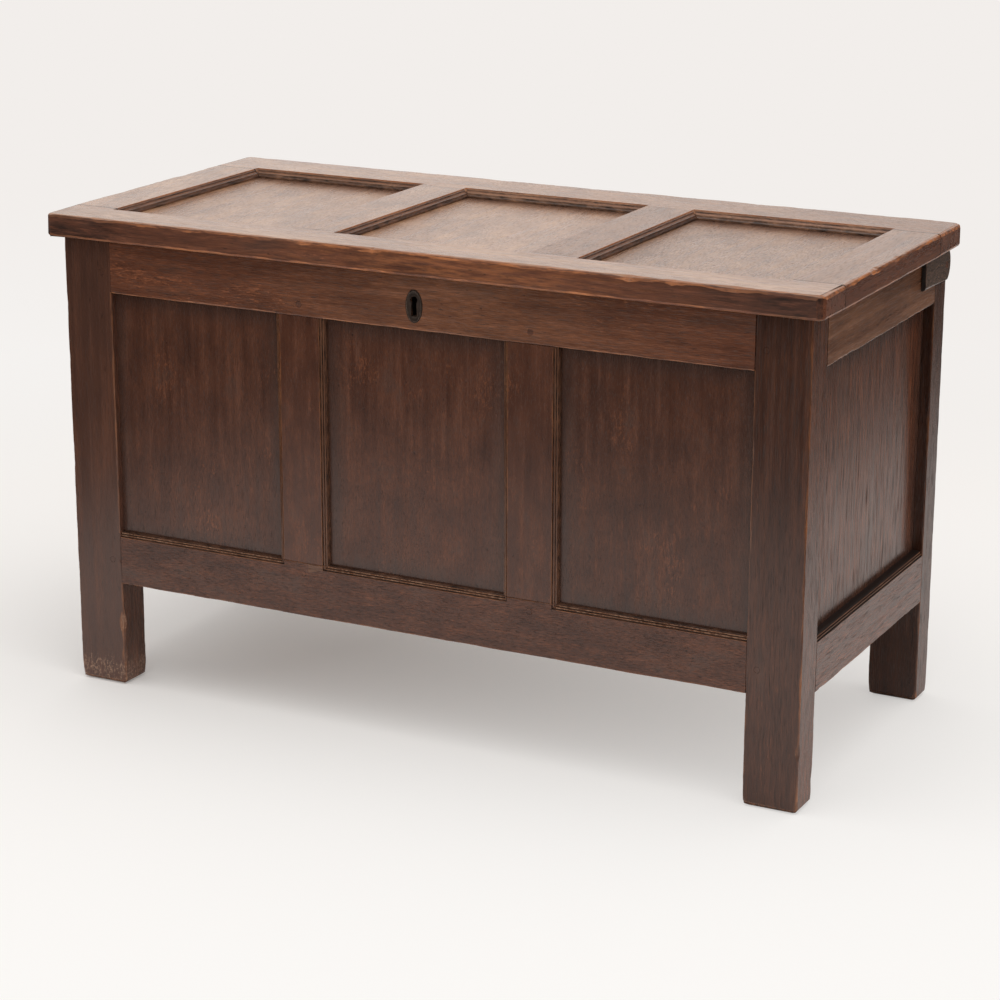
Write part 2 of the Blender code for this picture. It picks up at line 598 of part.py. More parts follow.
def lock(front, lid, front_rail, lid_rail, iron):
    """The let-in escutcheon, the lock's plate, case and bolt behind the rail, and the lid's staple."""
    plate_oval = ellipse(0.0, KEYHOLE_HEIGHT, ESCUTCHEON_WIDTH, ESCUTCHEON_TALL, OVAL_SIDES)
    bed_wide, bed_high = ESCUTCHEON_WIDTH + 2 * SEAM, ESCUTCHEON_TALL + 2 * SEAM
    bed_oval = ellipse(0.0, KEYHOLE_HEIGHT, bed_wide, bed_high, OVAL_SIDES)
    bed = -ESCUTCHEON_THICKNESS + ESCUTCHEON_PROUD
    escutcheon = prism("keyhole_escutcheon", front, N, plate_oval, (bed, ESCUTCHEON_PROUD), iron)
    inside = -FRONT_RAIL_THICKNESS - SEAM
    plate_back = inside - LOCK_PLATE_THICKNESS
    hole_span = (plate_back - CUT_OVER, ESCUTCHEON_PROUD + CUT_OVER)
    keyhole = prism("cut_keyhole", front, N, keyhole_outline(0.0, KEYHOLE_HEIGHT), hole_span)
    cut(escutcheon, keyhole)
    cut(front_rail, prism("cut_escutcheon_bed", front, N, bed_oval, (bed - SEAM, CUT_OVER)))
    cut(front_rail, keyhole)

    wide = (-LOCK_WIDTH / 2, LOCK_WIDTH / 2)
    top = CARCASS_HEIGHT - LOCK_TOP_ROOM
    tall = (top - LOCK_TALL, top)
    plate = box("lock_plate", front, wide, tall, (plate_back, inside), iron)
    cut(plate, keyhole)
    rim = plate_back - SEAM
    case_floor = rim - LOCK_CASE_DEPTH
    hollow = (grown(wide, -LOCK_CASE_WALL), grown(tall, -LOCK_CASE_WALL))
    cap = loft("lock_cap", front, N, [(case_floor, *hollow), (rim, *hollow), (rim, wide, tall),
                                      (case_floor - LOCK_CASE_WALL, wide, tall)], iron)

    leg_front = rim - STAPLE_PLAY
    eye = (leg_front - STAPLE_LEG - STAPLE_EYE_DEPTH, leg_front - STAPLE_LEG)
    loop = (eye[0] - STAPLE_LEG, leg_front)
    eye_top = tall[1] - LOCK_CASE_WALL
    eye_tall = (eye_top - STAPLE_EYE_TALL, eye_top)
    bolt_middle = sum(eye_tall) / 2
    bolt_tall = (bolt_middle - BOLT_TALL / 2, bolt_middle + BOLT_TALL / 2)
    tongue_tall = (bolt_middle - BOLT_TONGUE_TALL / 2, bolt_middle + BOLT_TONGUE_TALL / 2)
    tongue_middle = sum(eye) / 2
    tongue_deep = (tongue_middle - BOLT_TONGUE_THICKNESS / 2, tongue_middle + BOLT_TONGUE_THICKNESS / 2)
    tail = (BOLT_TAIL_START, BOLT_TAIL_START + BOLT_TAIL)
    tail_deep = (case_floor + SEAM, rim)
    staple_wide = (STAPLE_OFFSET - STAPLE_WIDTH / 2, STAPLE_OFFSET + STAPLE_WIDTH / 2)
    tip = staple_wide[0] - BOLT_TIP_ROOM
    tail_sections = [(place, bolt_tall, tail_deep) for place in tail]
    tongue_sections = [(place, tongue_tall, tongue_deep) for place in (tail[1], tip)]
    bolt = loft("lock_bolt", front, U, tail_sections + tongue_sections, iron)
    notch_wide = (-BOLT_NOTCH_WIDTH / 2, BOLT_NOTCH_WIDTH / 2)
    notch_tall = (bolt_tall[0] - CUT_OVER, bolt_tall[0] + BOLT_NOTCH_DEPTH)
    cut(bolt, box("cut_bolt_notch", front, notch_wide, notch_tall, grown(tail_deep, CUT_OVER)))
    ledge_tall = (bolt_tall[0] - SEAM - LOCK_LEDGE, bolt_tall[0] - SEAM)
    ledge_wide = (wide[0] + LOCK_CASE_WALL / 2, -KEYHOLE_TALL / 2)
    ledge_deep = (case_floor - LOCK_CASE_WALL / 2, rim)
    cut(cap, box("cut_lock_ledge", front, ledge_wide, ledge_tall, ledge_deep), "UNION")
    slot_wide = grown(staple_wide, STAPLE_PLAY)
    slot_tall = (tall[1] - LOCK_CASE_WALL - CUT_OVER, tall[1] + CUT_OVER)
    slot_deep = (loop[0] - STAPLE_PLAY, rim + CUT_OVER)
    cut(cap, box("cut_staple_slot", front, slot_wide, slot_tall, slot_deep))

    lid_under = -LID_THICKNESS
    to_y = [FRONT_Y - depth for depth in loop[::-1]]
    eye_y = [FRONT_Y - depth for depth in eye[::-1]]
    plate_wide = (STAPLE_OFFSET - STAPLE_PLATE_LENGTH / 2, STAPLE_OFFSET + STAPLE_PLATE_LENGTH / 2)
    plate_y = grown(to_y, STAPLE_PLATE_MARGIN)
    plate_n = (lid_under, lid_under + STAPLE_PLATE_THICKNESS)
    staple = box("lock_staple", lid, plate_wide, plate_y, plate_n, iron)
    eye_n = (eye_tall[0] - LID_TOP, eye_tall[1] - LID_TOP)
    loop_n = (eye_n[0] - STAPLE_LEG, lid_under + STAPLE_PLATE_THICKNESS / 2)
    cut(staple, box("cut_staple_loop", lid, staple_wide, to_y, loop_n), "UNION")
    cut(staple, box("cut_staple_eye", lid, grown(staple_wide, CUT_OVER), eye_y, eye_n))
    pocket_n = (lid_under - CUT_OVER, plate_n[1] + SEAM)
    cut(lid_rail, box("cut_staple_pocket", lid, grown(plate_wide, SEAM), grown(plate_y, SEAM), pocket_n))


def main():
    clear_scene()
    oak = finish("stained_oak", STAINED_OAK, 0.0)
    lid_oak = finish("worn_lid_oak", WORN_OAK, 0.0)
    floor_oak = finish("bare_oak", BARE_OAK, 0.0)
    iron = finish("wrought_iron", WROUGHT_IRON, 1.0)
    front = Frame("front_face", (0, FRONT_Y, 0), X_AXIS, Z_AXIS)
    back = Frame("back_face", (0, BACK_Y, 0), -X_AXIS, Z_AXIS)
    ends = {"right": Frame("right_end_face", (END_X, 0, 0), Y_AXIS, Z_AXIS),
            "left": Frame("left_end_face", (-END_X, 0, 0), -Y_AXIS, Z_AXIS)}
    floor = Frame("floor_plan", (0, 0, 0), X_AXIS, Y_AXIS)
    lid = Frame("lid_hinge_axis", (0, HINGE_Y, HINGE_Z), X_AXIS, Y_AXIS, (0, -HINGE_Y, LID_TOP - HINGE_Z))

    stiles = corner_stiles(front, back, oak)
    front_rails = front_frame(front, stiles, oak)
    back_rails = back_frame(back, stiles, oak)
    for side, frame in ends.items():
        end_frame(side, frame, side == "right", stiles, oak)
    round_back_arris(floor, (back_rails["top"], stiles["rear", "left"], stiles["rear", "right"]))
    floor_boards(floor, (front_rails["bottom"], back_rails["bottom"]), floor_oak)
    lid_rail = lid_frame(lid, lid_oak)
    hinges(lid, ends, stiles, oak)
    lock(front, lid, front_rails["top"], lid_rail, iron)


main()
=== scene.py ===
"""Dresses the oak coffer: worn, hand-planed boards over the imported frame, aged finishes, and a pale studio."""

import json
import math
from types import SimpleNamespace

import bmesh
import bpy
import numpy as np
from mathutils import Matrix, Vector, noise

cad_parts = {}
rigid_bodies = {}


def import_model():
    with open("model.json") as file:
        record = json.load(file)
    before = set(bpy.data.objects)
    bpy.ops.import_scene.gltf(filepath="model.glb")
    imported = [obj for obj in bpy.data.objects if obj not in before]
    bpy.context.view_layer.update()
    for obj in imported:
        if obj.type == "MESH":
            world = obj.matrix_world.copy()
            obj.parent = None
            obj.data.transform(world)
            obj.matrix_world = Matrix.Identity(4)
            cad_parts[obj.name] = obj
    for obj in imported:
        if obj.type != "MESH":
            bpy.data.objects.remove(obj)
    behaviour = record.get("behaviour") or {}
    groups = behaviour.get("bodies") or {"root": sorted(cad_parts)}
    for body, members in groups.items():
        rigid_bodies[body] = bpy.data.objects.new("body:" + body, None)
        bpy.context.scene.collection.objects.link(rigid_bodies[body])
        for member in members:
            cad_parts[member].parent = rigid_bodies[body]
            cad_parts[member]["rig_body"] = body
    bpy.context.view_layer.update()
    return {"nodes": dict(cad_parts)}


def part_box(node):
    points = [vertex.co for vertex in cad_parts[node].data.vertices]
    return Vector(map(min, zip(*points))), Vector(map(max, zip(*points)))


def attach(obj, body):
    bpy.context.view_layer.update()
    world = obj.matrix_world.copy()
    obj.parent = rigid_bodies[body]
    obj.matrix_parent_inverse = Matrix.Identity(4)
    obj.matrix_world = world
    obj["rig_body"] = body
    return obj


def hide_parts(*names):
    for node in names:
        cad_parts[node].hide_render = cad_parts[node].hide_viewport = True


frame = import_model()

MM = 0.001
X, Y, Z = 0, 1, 2


def both(name, value=None):
    """The left and the right piece of a name, with one value for both."""
    return dict.fromkeys((name.format("left"), name.format("right")), value)


END_TOP_RAILS = both("{}_end_top_rail")
END_BOTTOM_RAILS = both("{}_end_bottom_rail")
FRONT_RAILS = ("front_top_rail", "front_bottom_rail")
FRONT_MUNTINS = both("front_{}_muntin")
LID_RAILS = ("lid_front_rail", "lid_back_rail")

# How near places are to be one, to lie on a face and to be welded; below what turn faces are one, and above what turn,
# in radians, they meet in an arris
FLUSH = 0.05 * MM
ON_FACE = 0.002 * MM
WELD = 1e-6
FLAT_TURN = math.radians(0.5)
SHARP_TURN = 1.0

# The photograph's camera, fitted to the edges of the carcass and the lid
CAMERA_PLACE = Vector((1.6305, -3.1667, 1.3332))
CAMERA_AZIMUTH = math.radians(27.237)
CAMERA_ELEVATION = math.radians(16.688)
CAMERA_ROLL = math.radians(0.114)

# How far mouldings reach over the boards that carry them, and where on that reach, in millimetres from the panel, their
# quirks keep grime and their ridges are rubbed
FRAME_MOULDING_MM = 7.0
LID_MOULDING_MM = 7.5
FRAME_MOULDING_REACH = FRAME_MOULDING_MM * MM
LID_MOULDING_REACH = LID_MOULDING_MM * MM
FRAME_QUIRKS = ((5.4, 7.0), (2.6, 3.7), (-1.0, 1.3))
FRAME_RIDGES = ((3.7, 5.2), (1.3, 2.5))
LID_QUIRKS = ((4.9, 6.0), (-1.0, 2.3))
LID_RIDGES = ((3.3, 4.4),)
# How deep the lid's moulding lies, and how far past a moulding a spot is counted
LID_MOULDING_TOP = 0.2 * MM
LID_MOULDING_FOOT = 13 * MM
PAST_MOULDING_MM = -0.9

# How much of a panel's edges its grooves hide, how long such edges are at least, and how far off hidden ends are put
PANEL_TONGUE = 7.0 * MM
PANEL_SIDE = 100 * MM
OUT_OF_REACH = 1.0

# How far arrises and corners are rounded, and in how many facets
FRAME_ARRIS = 1.2 * MM
LID_ARRIS = 3.0 * MM
FLOOR_ARRIS = 0.8 * MM
FOOT_ARRIS = 4.0 * MM
LID_CORNER = 8.0 * MM
CLEAT_NOSE = 5.5 * MM
ARRIS_FACETS = 3
CORNER_FACETS = 6

# How an arris wears: evenly, in long and in short waves, and deeper where it has begun to go. Its borders slide along
# the flats, and keep clear of other points there
WEAR_LENGTH = 34.0 * MM
EVEN_WEAR = 0.18
LONG_WEAR = 0.5
SHORT_WEAR = 0.22
SHORT_WAVES = 4.3
DEEP_WEAR_FROM = 0.45
DEEP_WEAR = 1.5
LOWER_WEAR = 0.3
BORDER_SLIDE = 2.0
LEAST_SLIDE = 0.02
BORDER_MARGIN = 0.4 * MM
CORNER_WEAR = 1.1 * MM
CORNER_WEAR_REACH = 11 * MM
FOOT_WEAR = 2.2 * MM
FOOT_WEAR_REACH = 13 * MM
FINE_STEP = 3.5 * MM
COARSE_STEP = 9.0 * MM

# How each board's wear and grain are moved along, so that no two boards are alike
WEAR_SHIFT = (97, 51, 13)
GRAIN_SHIFT_MM = (731.0, 417.0, 283.0)
LOT_STEP = 0.37

# How wide a line of old dirt shows where the lid's stiles and muntins meet its rails
LID_SEAMS = {**both("lid_{}_stile", 2.0 * MM), **both("lid_{}_muntin", 0.8 * MM)}

# Chips that show: their middles, depths and reaches; how broad pale wood shows there, and from what depth it is bright
CHIPS = {"front_left_stile": (((-454 * MM, -232.5 * MM, 90 * MM), 2.6 * MM, 15 * MM),
                              ((-454 * MM, -232.5 * MM, 40 * MM), 1.5 * MM, 12 * MM)),
         "front_right_stile": (((525 * MM, -232.5 * MM, 80 * MM), 1.4 * MM, 8 * MM),
                               ((525 * MM, -182.5 * MM, 30 * MM), 1.6 * MM, 12 * MM)),
         "lid_front_rail": (((300 * MM, -249.5 * MM, 648.3 * MM), 1.2 * MM, 14 * MM),
                            ((430 * MM, -249.5 * MM, 648.3 * MM), 1.0 * MM, 25 * MM))}
CHIP_ACROSS = 4.5 * MM
CHIP_BRIGHT = 2.2 * MM

# How squarely a face looks a way, by its normal: roughly, squarely, flat, as lower arrises do, and on the lid
ROUGHLY = 0.5
SQUARELY = 0.9
FLAT_END = 0.95
FLAT_UNDER = 0.97
DOWNWARD = -0.2
UNDER_LID = 0.3
TOP_FROM = 0.7
TOP_SPAN = 0.25
HALF = 0.5

# Where hands rub the lid's front edge when they lift it: the middle and the spread along the edge
GRIP_MIDDLE = 60 * MM
GRIP_SPREAD = 240 * MM
GRIP_RUB = 0.5
# The front top rail is paler round the lock, partly from hand wear and partly as painted sheen
LOCK_WEAR_AND_SHEEN = 0.16
END_RUB = 0.3
MOULDING_RUB = 0.25
BACK_MOULDING_RUB = 0.5
LID_RIDGE_RUB = 0.4
FRAME_RIDGE_RUB = 0.1

# Soot on the lid's front edge: more towards its ends and a little on the right, less where hands rub it
EDGE_SOOT = 0.36
END_SOOT = 0.2
END_SOOT_SPAN = (400 * MM, 100 * MM)
RIGHT_SOOT = 0.03
RIGHT_SOOT_SPAN = (200 * MM, 200 * MM)
GRIP_CLEAN = 0.26

# Grime in quirks and seams, over end mouldings, round pegs and on cleats; painted shade, at full strength on the
# keyhole's walls, and on the cleats' end faces
QUIRK_GRIME = 0.6
SEAM_GRIME = 0.9
FULL_GRIME_AND_SHADE = 1.0
END_MOULDING_GRIME = 0.4
PEG_GRIME = 0.5
CLEAT_GRIME = 0.25
CLEAT_END_SHADE = 0.8

# Painted reflection: how far from the lid's back rail its panels are painted darker and less waxed, and how much; the
# back rail carries painted sheen, paler and waxier on its left, darker and less waxed towards its right
BACK_SHADE_REACH = 42 * MM
BACK_SHADE = 0.8
BACK_RAIL_FADE = 0.45

# How pale the stain took on boards that differ from the rest, on ends and on lid edges
STAIN_DEPTH = {"front_left_stile": 1.2, "front_right_stile": 0.74, "front_top_rail": 1.5, "front_bottom_rail": 0.87,
               "front_left_muntin": 0.95, "front_right_muntin": 0.90, "front_left_panel": 0.98,
               "front_middle_panel": 0.96, "front_right_panel": 0.84, "lid_right_panel": 0.90, "lid_back_rail": 1.1,
               **both("rear_{}_stile", 0.85), **both("{}_hinge_cleat", 1.1)}
END_DEPTH = {**both("{}_end_top_rail", 1.85), "front_right_stile": 1.5, "rear_right_stile": 0.85,
             "right_end_bottom_rail": 1.3, **both("{}_hinge_cleat", 1.1)}
USUAL_END_DEPTH = 1.35
# Painted shade on the rear stiles' front faces, under the coffer
SHADED_DEPTH = 0.42
LID_EDGE_DEPTH = 1.42
LID_END_DEPTH = 1.26
# Painted highlight: the lid's lower arrises are paler, as if they caught light from the floor
LOWER_ARRIS_HIGHLIGHT = 1.9
# Painted highlight: the cleats' rounded lower noses are paler, as if they caught light from the floor
CLEAT_NOSE_HIGHLIGHT = 2.4
# Painted shade: the keyhole's walls are darkened nearly to black
KEYHOLE_SHADE_DEPTH = 0.2

# How much smoke greyed boards that differ from the rest
SMOKY = {"front_left_stile": 0.5, "front_right_stile": 0.25, "front_top_rail": 0.12, "front_left_panel": 0.2,
         "front_middle_panel": 0.1, "front_right_panel": 0.15, **both("front_{}_muntin", 0.1),
         **both("{}_end_top_rail", 0.4), **both("{}_hinge_cleat", 0.85)}
SMOKY_MOULDING = 0.45

# How well wax was kept up on lid boards that differ from the rest
LID_WAX = {"lid_right_stile": 0.62, "lid_right_muntin": 0.58, "lid_left_muntin": 0.85, "lid_back_rail": 0.85,
           "lid_right_panel": 0.85}

# How far up and how much shoes and brooms scuffed the feet; scuffed cleats, and dust on the front's low ridges
FOOT_SCUFF_HEIGHT = 75 * MM
FOOT_SCUFF_FADE = 1.6
FOOT_SCUFFS = {"front_left_stile": 0.48, "front_right_stile": 0.3}
USUAL_FOOT_SCUFF = 0.25
CLEAT_SCUFF = 0.5
RIDGE_DUST = 0.52

# How far bare wood reaches past the room inside, and a joint past a stile's inner side
ROOM_MARGIN = 4 * MM
JOINT_MARGIN = 6 * MM

# How open the grain is on boards that differ from the rest, and on the ends
OPEN_GRAIN = {**both("front_{}_panel", 0.85), "front_middle_panel": 0.85, "front_left_stile": 0.55,
              "front_right_stile": 1.1, **both("front_{}_muntin", 0.6), "front_bottom_rail": 1.2,
              "lid_right_panel": 1.5}
END_GRAIN = both("{}_end_top_rail", 1.2)
USUAL_END_GRAIN = 1.6
END_RELIEF = 0.2

# How much longer and wider the fibres are on streaked boards; on the end panels coarser than life, to show
LONG_FIBRES = (3.0, 1.0)
FIBRES = {**both("{}_end_panel", (7.0, 2.3)), **both("{}_end_bottom_rail", LONG_FIBRES),
          **both("{}_end_top_rail", LONG_FIBRES), **both("front_{}_stile", LONG_FIBRES),
          **both("rear_{}_stile", LONG_FIBRES), "front_top_rail": (2.0, 1.0), "lid_front_rail": (2.5, 1.0),
          **both("lid_{}_stile", (2.0, 1.0))}

# The sizes of the patterns in oak, in millimetres along and across the fibres, with their detail and roughness. Fibres
# and pores are drawn coarser than life, so that they show
OAK_PATTERNS = {"fibres": (8.0, 1.2, 3.0, 0.6), "pores": (7.0, 0.9, 1.0, 0.5), "streaks": (120.0, 8.0, 3.0, 0.6),
                "clouds": (55.0, 34.0, 5.0, 0.6), "ragged": (16.0, 5.0, 4.0, 0.7), "spells": (90.0, 60.0, 2.0, 0.5),
                "scuffs": (5.0, 2.2, 2.0, 0.7), "dents": (6.0, 2.6, 1.0, 0.5), "speckles": (4.0, 3.0, 3.0, 0.7)}

# Between what levels of its pattern each mark of age grows, and from what share to what share. Worn arrises and panels'
# grey borders go by millimetres from the edge
PORE_SPAN = (0.55, 0.75)
SCUFF_SPAN = (0.37, 0.47, 0.0, 0.3)
DENT_SPAN = (0.72, 0.78, 0.0, 0.6)
THIN_SPAN = (0.42, 0.62, 0.08, 1.0)
RAGGED_LEVELS = (0.17, 0.40)
LEAST_ARRIS_MM = 0.15
BALD = 0.9
CLOUD_BORDER_MM = -60.0
BORDER_SPAN = (-34.0, 12.0, 0.6, 0.0)
SMOKE_SPAN = (0.52, 0.70, 0.0, 0.55)
PALE_SPAN = (0.97, 1.12, 0.0, 0.7)
DUST_RAGGED = 1.2
DUST_SPAN = (0.95, 1.4, 0.0, 0.9)
PORE_DARK = 0.4

# How the patterns add up to a tone, and where on that tone the three colours of a stain lie
TONE_START = 0.05
FIBRE_TONE = 0.55
STREAK_TONE = 0.36
CLOUD_TONE = 0.5
FIRST_TONE = 0.3
TONE_STEP = 0.2

# How dull the wax is: along streaks, and more on raw wood, grime and pores; and how deep pores are felt
DULL_LEVELS = (0.3, 0.7)
GLOSSIER = 0.05
DULLER = 0.07
RAW_DULL = 0.35
GRIME_DULL = 0.3
PORE_DULL = 0.25
PORE_RELIEF = -0.5

BARE_TONES = ("#6f5038", "#906c4d", "#ad8a66")
STAIN_TONES = ("#40251b", "#5b3626", "#804d34")
RUBBED_TONES = ("#6f4b36", "#9c7152", "#bd9370")
# The dark colour of grime, and of painted shade in the keyhole and on cleats' ends
GRIME_AND_SHADE = "#120b08"
SMOKE = "#40332e"
PALE_WOOD = "#a5826a"

VECTORS = "ShaderNodeVectorMath"
# What a finish reads from a board: vectors in millimetres, then shares
OAK_READS = ("wood_mm", "board_mm", "half_mm", "stain_depth", "open_grain", "panel", "raw", "rubbed", "grime", "ridge",
             "arris", "joint", "relief", "smoky", "scuffed")

# Iron: the sizes of its pits and rust, its tones, and its rim, paler partly from hands rubbing it and partly as a
# painted highlight
PIT_SIZE = 2.5 * MM
RUST_SIZE = 14 * MM
IRON_TONES = ((0.35, "#382d27"), (0.55, "#453830"), (0.7, "#553e32"))
RUBBED_IRON_HIGHLIGHT = "#957f70"
BRIGHT_SPAN = (0.45, 0.7, 0.0, 0.6)
IRON_DULL_SPAN = (0.0, 1.0, 0.4, 0.7)

# The keyhole plate: rings from its oval edge, at 0, to the hole, at 1, and how deep they are sunk in millimetres; which
# make the rim; and the hole, round at its head, with a slot that flares to its foot
PLATE_RINGS = ((0.0, 0.3), (0.07, -0.5), (0.17, -0.7), (0.28, -0.4), (0.36, 0.2), (0.6, 0.3), (0.82, 0.2),
               (0.93, -0.2), (1.0, 0.2))
RIM_RINGS = (2, 3)
PLATE_SIDES = 96
KEYHOLE_UP = 8.0 * MM
KEYHOLE_HEAD = 4.8 * MM
KEYHOLE_WAIST = 3.0 * MM
KEYHOLE_FLARE = 0.07
KEYHOLE_FOOT = 20.5 * MM
LEAST_SPREAD = 1e-6

# The studio. In gloss the room shows one bright sheet of paper, hung at a slant behind the coffer
ROOM_COLOUR = "#f2eeeb"
ROOM_LIGHT = 0.85
SHEET_SLANT = -1.2
SHEET_SPAN = (0.6, 1.0, 0.05, 1.02)
LAMP_PLACE = Vector((0.4, -0.6, 3.0))
LAMP_AIM = Vector((0.0, -0.1, 0.0))

# The floor's paper: how far it lies, where it ends in gloss and bounced light, and where it melts into the background.
# The lift pales the coffer's shadow, most in front on the right
FLOOR_REACH = 12.0
FLOOR_PAPER = "#f8f7f5"
FLOOR_PAST_PAPER = "#343230"
FLOOR_NEAR = "#f9f8f6"
FLOOR_SIDE_SPAN = (0.96, 1.05, 1.0, 0.0)
FLOOR_AHEAD_SPAN = (-1.7, -1.1)
FLOOR_BEHIND_SPAN = (0.0, 0.6, 1.0, 0.8)
FLOOR_FAR_SPAN = (0.9, 2.2)
FLOOR_DEEP_SPAN = (-1.2, 3.0)
FLOOR_LIFT = 0.32
FLOOR_LIFT_RIGHT = 0.43
FLOOR_LIFT_BACK = -0.21

# The room inside the coffer, whose faces were never stained
ROOM_LOW = Vector((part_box("left_end_panel")[1][X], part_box("front_left_panel")[1][Y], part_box("floor_board_1")[1][Z]))
ROOM_HIGH = Vector((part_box("right_end_panel")[0][X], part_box("back_left_panel")[0][Y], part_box("lid_front_rail")[0][Z]))
ROOM_MIDDLE, ROOM_HALF = np.array((ROOM_LOW + ROOM_HIGH) / 2), np.array((ROOM_HIGH - ROOM_LOW) / 2)

# The lid's underside, which is bare too, up to its panels and in from its outer arrises
BELOW_PANEL_TOP = 5 * MM
UNDERSIDE_INSET = (4 * MM, 4 * MM, -1 * MM)
LID_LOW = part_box("lid_front_rail")[0]
LID_HIGH = Vector((*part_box("lid_back_rail")[1][:Z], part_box("lid_left_panel")[1][Z] - BELOW_PANEL_TOP))
LID_MIDDLE = np.array((LID_LOW + LID_HIGH) / 2)
LID_HALF = np.array((LID_HIGH - LID_LOW) / 2) - np.array(UNDERSIDE_INSET)


def linear(code):
    """The linear colour of an sRGB hex value."""
    parts = [int(code[start:start + 2], 16) / 255 for start in (1, 3, 5)]
    bent = [part / 12.92 if part <= 0.04045 else ((part + 0.055) / 1.055) ** 2.4 for part in parts]
    return (*bent, 1.0)


def add(tree, kind, settings=None, inputs=None):
    """Adds a node with its settings, sets or links its inputs, and returns its first output."""
    node = tree.nodes.new(kind)
    for name, value in (settings or {}).items():
        if name == "stops":
            for spare in list(node.color_ramp.elements)[1:]:
                node.color_ramp.elements.remove(spare)
            node.color_ramp.elements[0].position = value[0][0]
            node.color_ramp.elements[0].color = value[0][1]
            for place, colour in value[1:]:
                node.color_ramp.elements.new(place).color = colour
        else:
            setattr(node, name, value)
    for name, value in (inputs or {}).items():
        if isinstance(value, bpy.types.NodeSocket):
            tree.links.new(value, node.inputs[name])
        else:
            node.inputs[name].default_value = value
    return node.outputs[0]


def sums(tree, operation, *values, kind="ShaderNodeMath"):
    """The outcome of an operation on numbers or, by its kind, on vectors."""
    return add(tree, kind, {"operation": operation}, dict(enumerate(values)))


def ranged(tree, value, span, smooth=False):
    """A number spread anew: between a span's first two levels it goes from the third to the fourth, or 0 to 1."""
    return add(tree, "ShaderNodeMapRange", {"interpolation_type": "SMOOTHSTEP" if smooth else "LINEAR"},
               dict(zip(("Value", "From Min", "From Max", "To Min", "To Max"), (value, *span))))


def blended(tree, share, first, second):
    """One colour with a share of another in it."""
    mix = add(tree, "ShaderNodeMix", {"data_type": "RGBA"}, {"Factor": share, "A": first, "B": second})
    return mix.node.outputs["Result"]


def kept_value(tree, name):
    """A number or vector that a mesh keeps."""
    plug = "Vector" if name.endswith("_mm") else "Fac"
    return add(tree, "ShaderNodeAttribute", {"attribute_name": name}).node.outputs[plug]


def new_object(name, data):
    """A new thing in the scene, with its mesh, lamp or lens."""
    thing = bpy.data.objects.new(name, data)
    bpy.context.collection.objects.link(thing)
    return thing


def new_finish(name):
    """An empty finish, its nodes and its shader."""
    finish = bpy.data.materials.new(name)
    finish.use_nodes = True
    return finish, finish.node_tree, finish.node_tree.nodes["Principled BSDF"]


def oak_patterns(tree, kept):
    """The patterns in oak; all but the speckles follow its fibres."""
    drawn = {}
    for key, (along, across, detail, roughness) in OAK_PATTERNS.items():
        place = kept["board_mm" if key == "speckles" else "wood_mm"]
        scaled = sums(tree, "MULTIPLY", place, (1 / along, 1 / across, 1 / across), kind=VECTORS)
        drawn[key] = add(tree, "ShaderNodeTexNoise", None,
                         {"Vector": scaled, "Scale": 1.0, "Detail": detail, "Roughness": roughness})
    return drawn


def oak_tone(tree, drawn, fibres):
    """How light the wood is: its fibres, scuffs, streaks and clouds added up."""
    scuffs = sums(tree, "MULTIPLY", drawn["scuffs"], drawn["spells"])
    tone = sums(tree, "MULTIPLY_ADD", fibres, FIBRE_TONE, TONE_START)
    tone = sums(tree, "ADD", tone, ranged(tree, scuffs, SCUFF_SPAN))
    tone = sums(tree, "MULTIPLY_ADD", drawn["streaks"], STREAK_TONE, tone)
    return sums(tree, "MULTIPLY_ADD", drawn["clouds"], CLOUD_TONE, tone)


def edge_distances(tree, kept):
    """How far a spot lies from its board's sides, in millimetres along and across the fibres."""
    apart = sums(tree, "ABSOLUTE", kept["board_mm"], kind=VECTORS)
    apart = sums(tree, "SUBTRACT", kept["half_mm"], apart, kind=VECTORS)
    apart = sums(tree, "ABSOLUTE", apart, kind=VECTORS)
    return add(tree, "ShaderNodeSeparateXYZ", None, {0: apart}).node.outputs


def bald_share(tree, kept, drawn, edges, arris_wear):
    """Where the stain is worn off arrises and ridges, but not off panels, raw wood or closed joints."""
    least = sums(tree, "MINIMUM", edges[Y], edges[Z])
    most = sums(tree, "MINIMUM", sums(tree, "MAXIMUM", edges[Y], edges[Z]), edges[X])
    rim = sums(tree, "MAXIMUM", least, most)
    ragged = sums(tree, "MULTIPLY", drawn["ragged"], drawn["spells"])
    ragged = ranged(tree, ragged, (*RAGGED_LEVELS, LEAST_ARRIS_MM, arris_wear))
    bald = ranged(tree, rim, (0.0, ragged, BALD, 0.0), smooth=True)
    spared = sums(tree, "MAXIMUM", sums(tree, "MAXIMUM", kept["joint"], kept["panel"]), kept["raw"])
    rubbable = sums(tree, "SUBTRACT", 1.0, spared)
    bald = sums(tree, "MULTIPLY", bald, rubbable)
    ridge = sums(tree, "MAXIMUM", kept["ridge"], kept["arris"])
    ridge = sums(tree, "MULTIPLY", ridge, ranged(tree, drawn["ragged"], THIN_SPAN))
    ridge = sums(tree, "MULTIPLY", ridge, rubbable)
    return sums(tree, "MAXIMUM", bald, ridge)


def smoke_share(tree, kept, drawn, edges):
    """Where smoke and dust have greyed the stain: in clouds, round panels and on smoky boards."""
    border = sums(tree, "MINIMUM", edges[X], edges[Y])
    border = sums(tree, "MULTIPLY_ADD", drawn["clouds"], CLOUD_BORDER_MM, border)
    border = sums(tree, "MULTIPLY", ranged(tree, border, BORDER_SPAN, smooth=True), kept["panel"])
    smoke = sums(tree, "MAXIMUM", border, ranged(tree, drawn["clouds"], SMOKE_SPAN, smooth=True))
    smoke = sums(tree, "MAXIMUM", smoke, kept["smoky"])
    stained = sums(tree, "SUBTRACT", 1.0, sums(tree, "MAXIMUM", kept["rubbed"], kept["raw"]))
    return sums(tree, "MULTIPLY", smoke, stained)


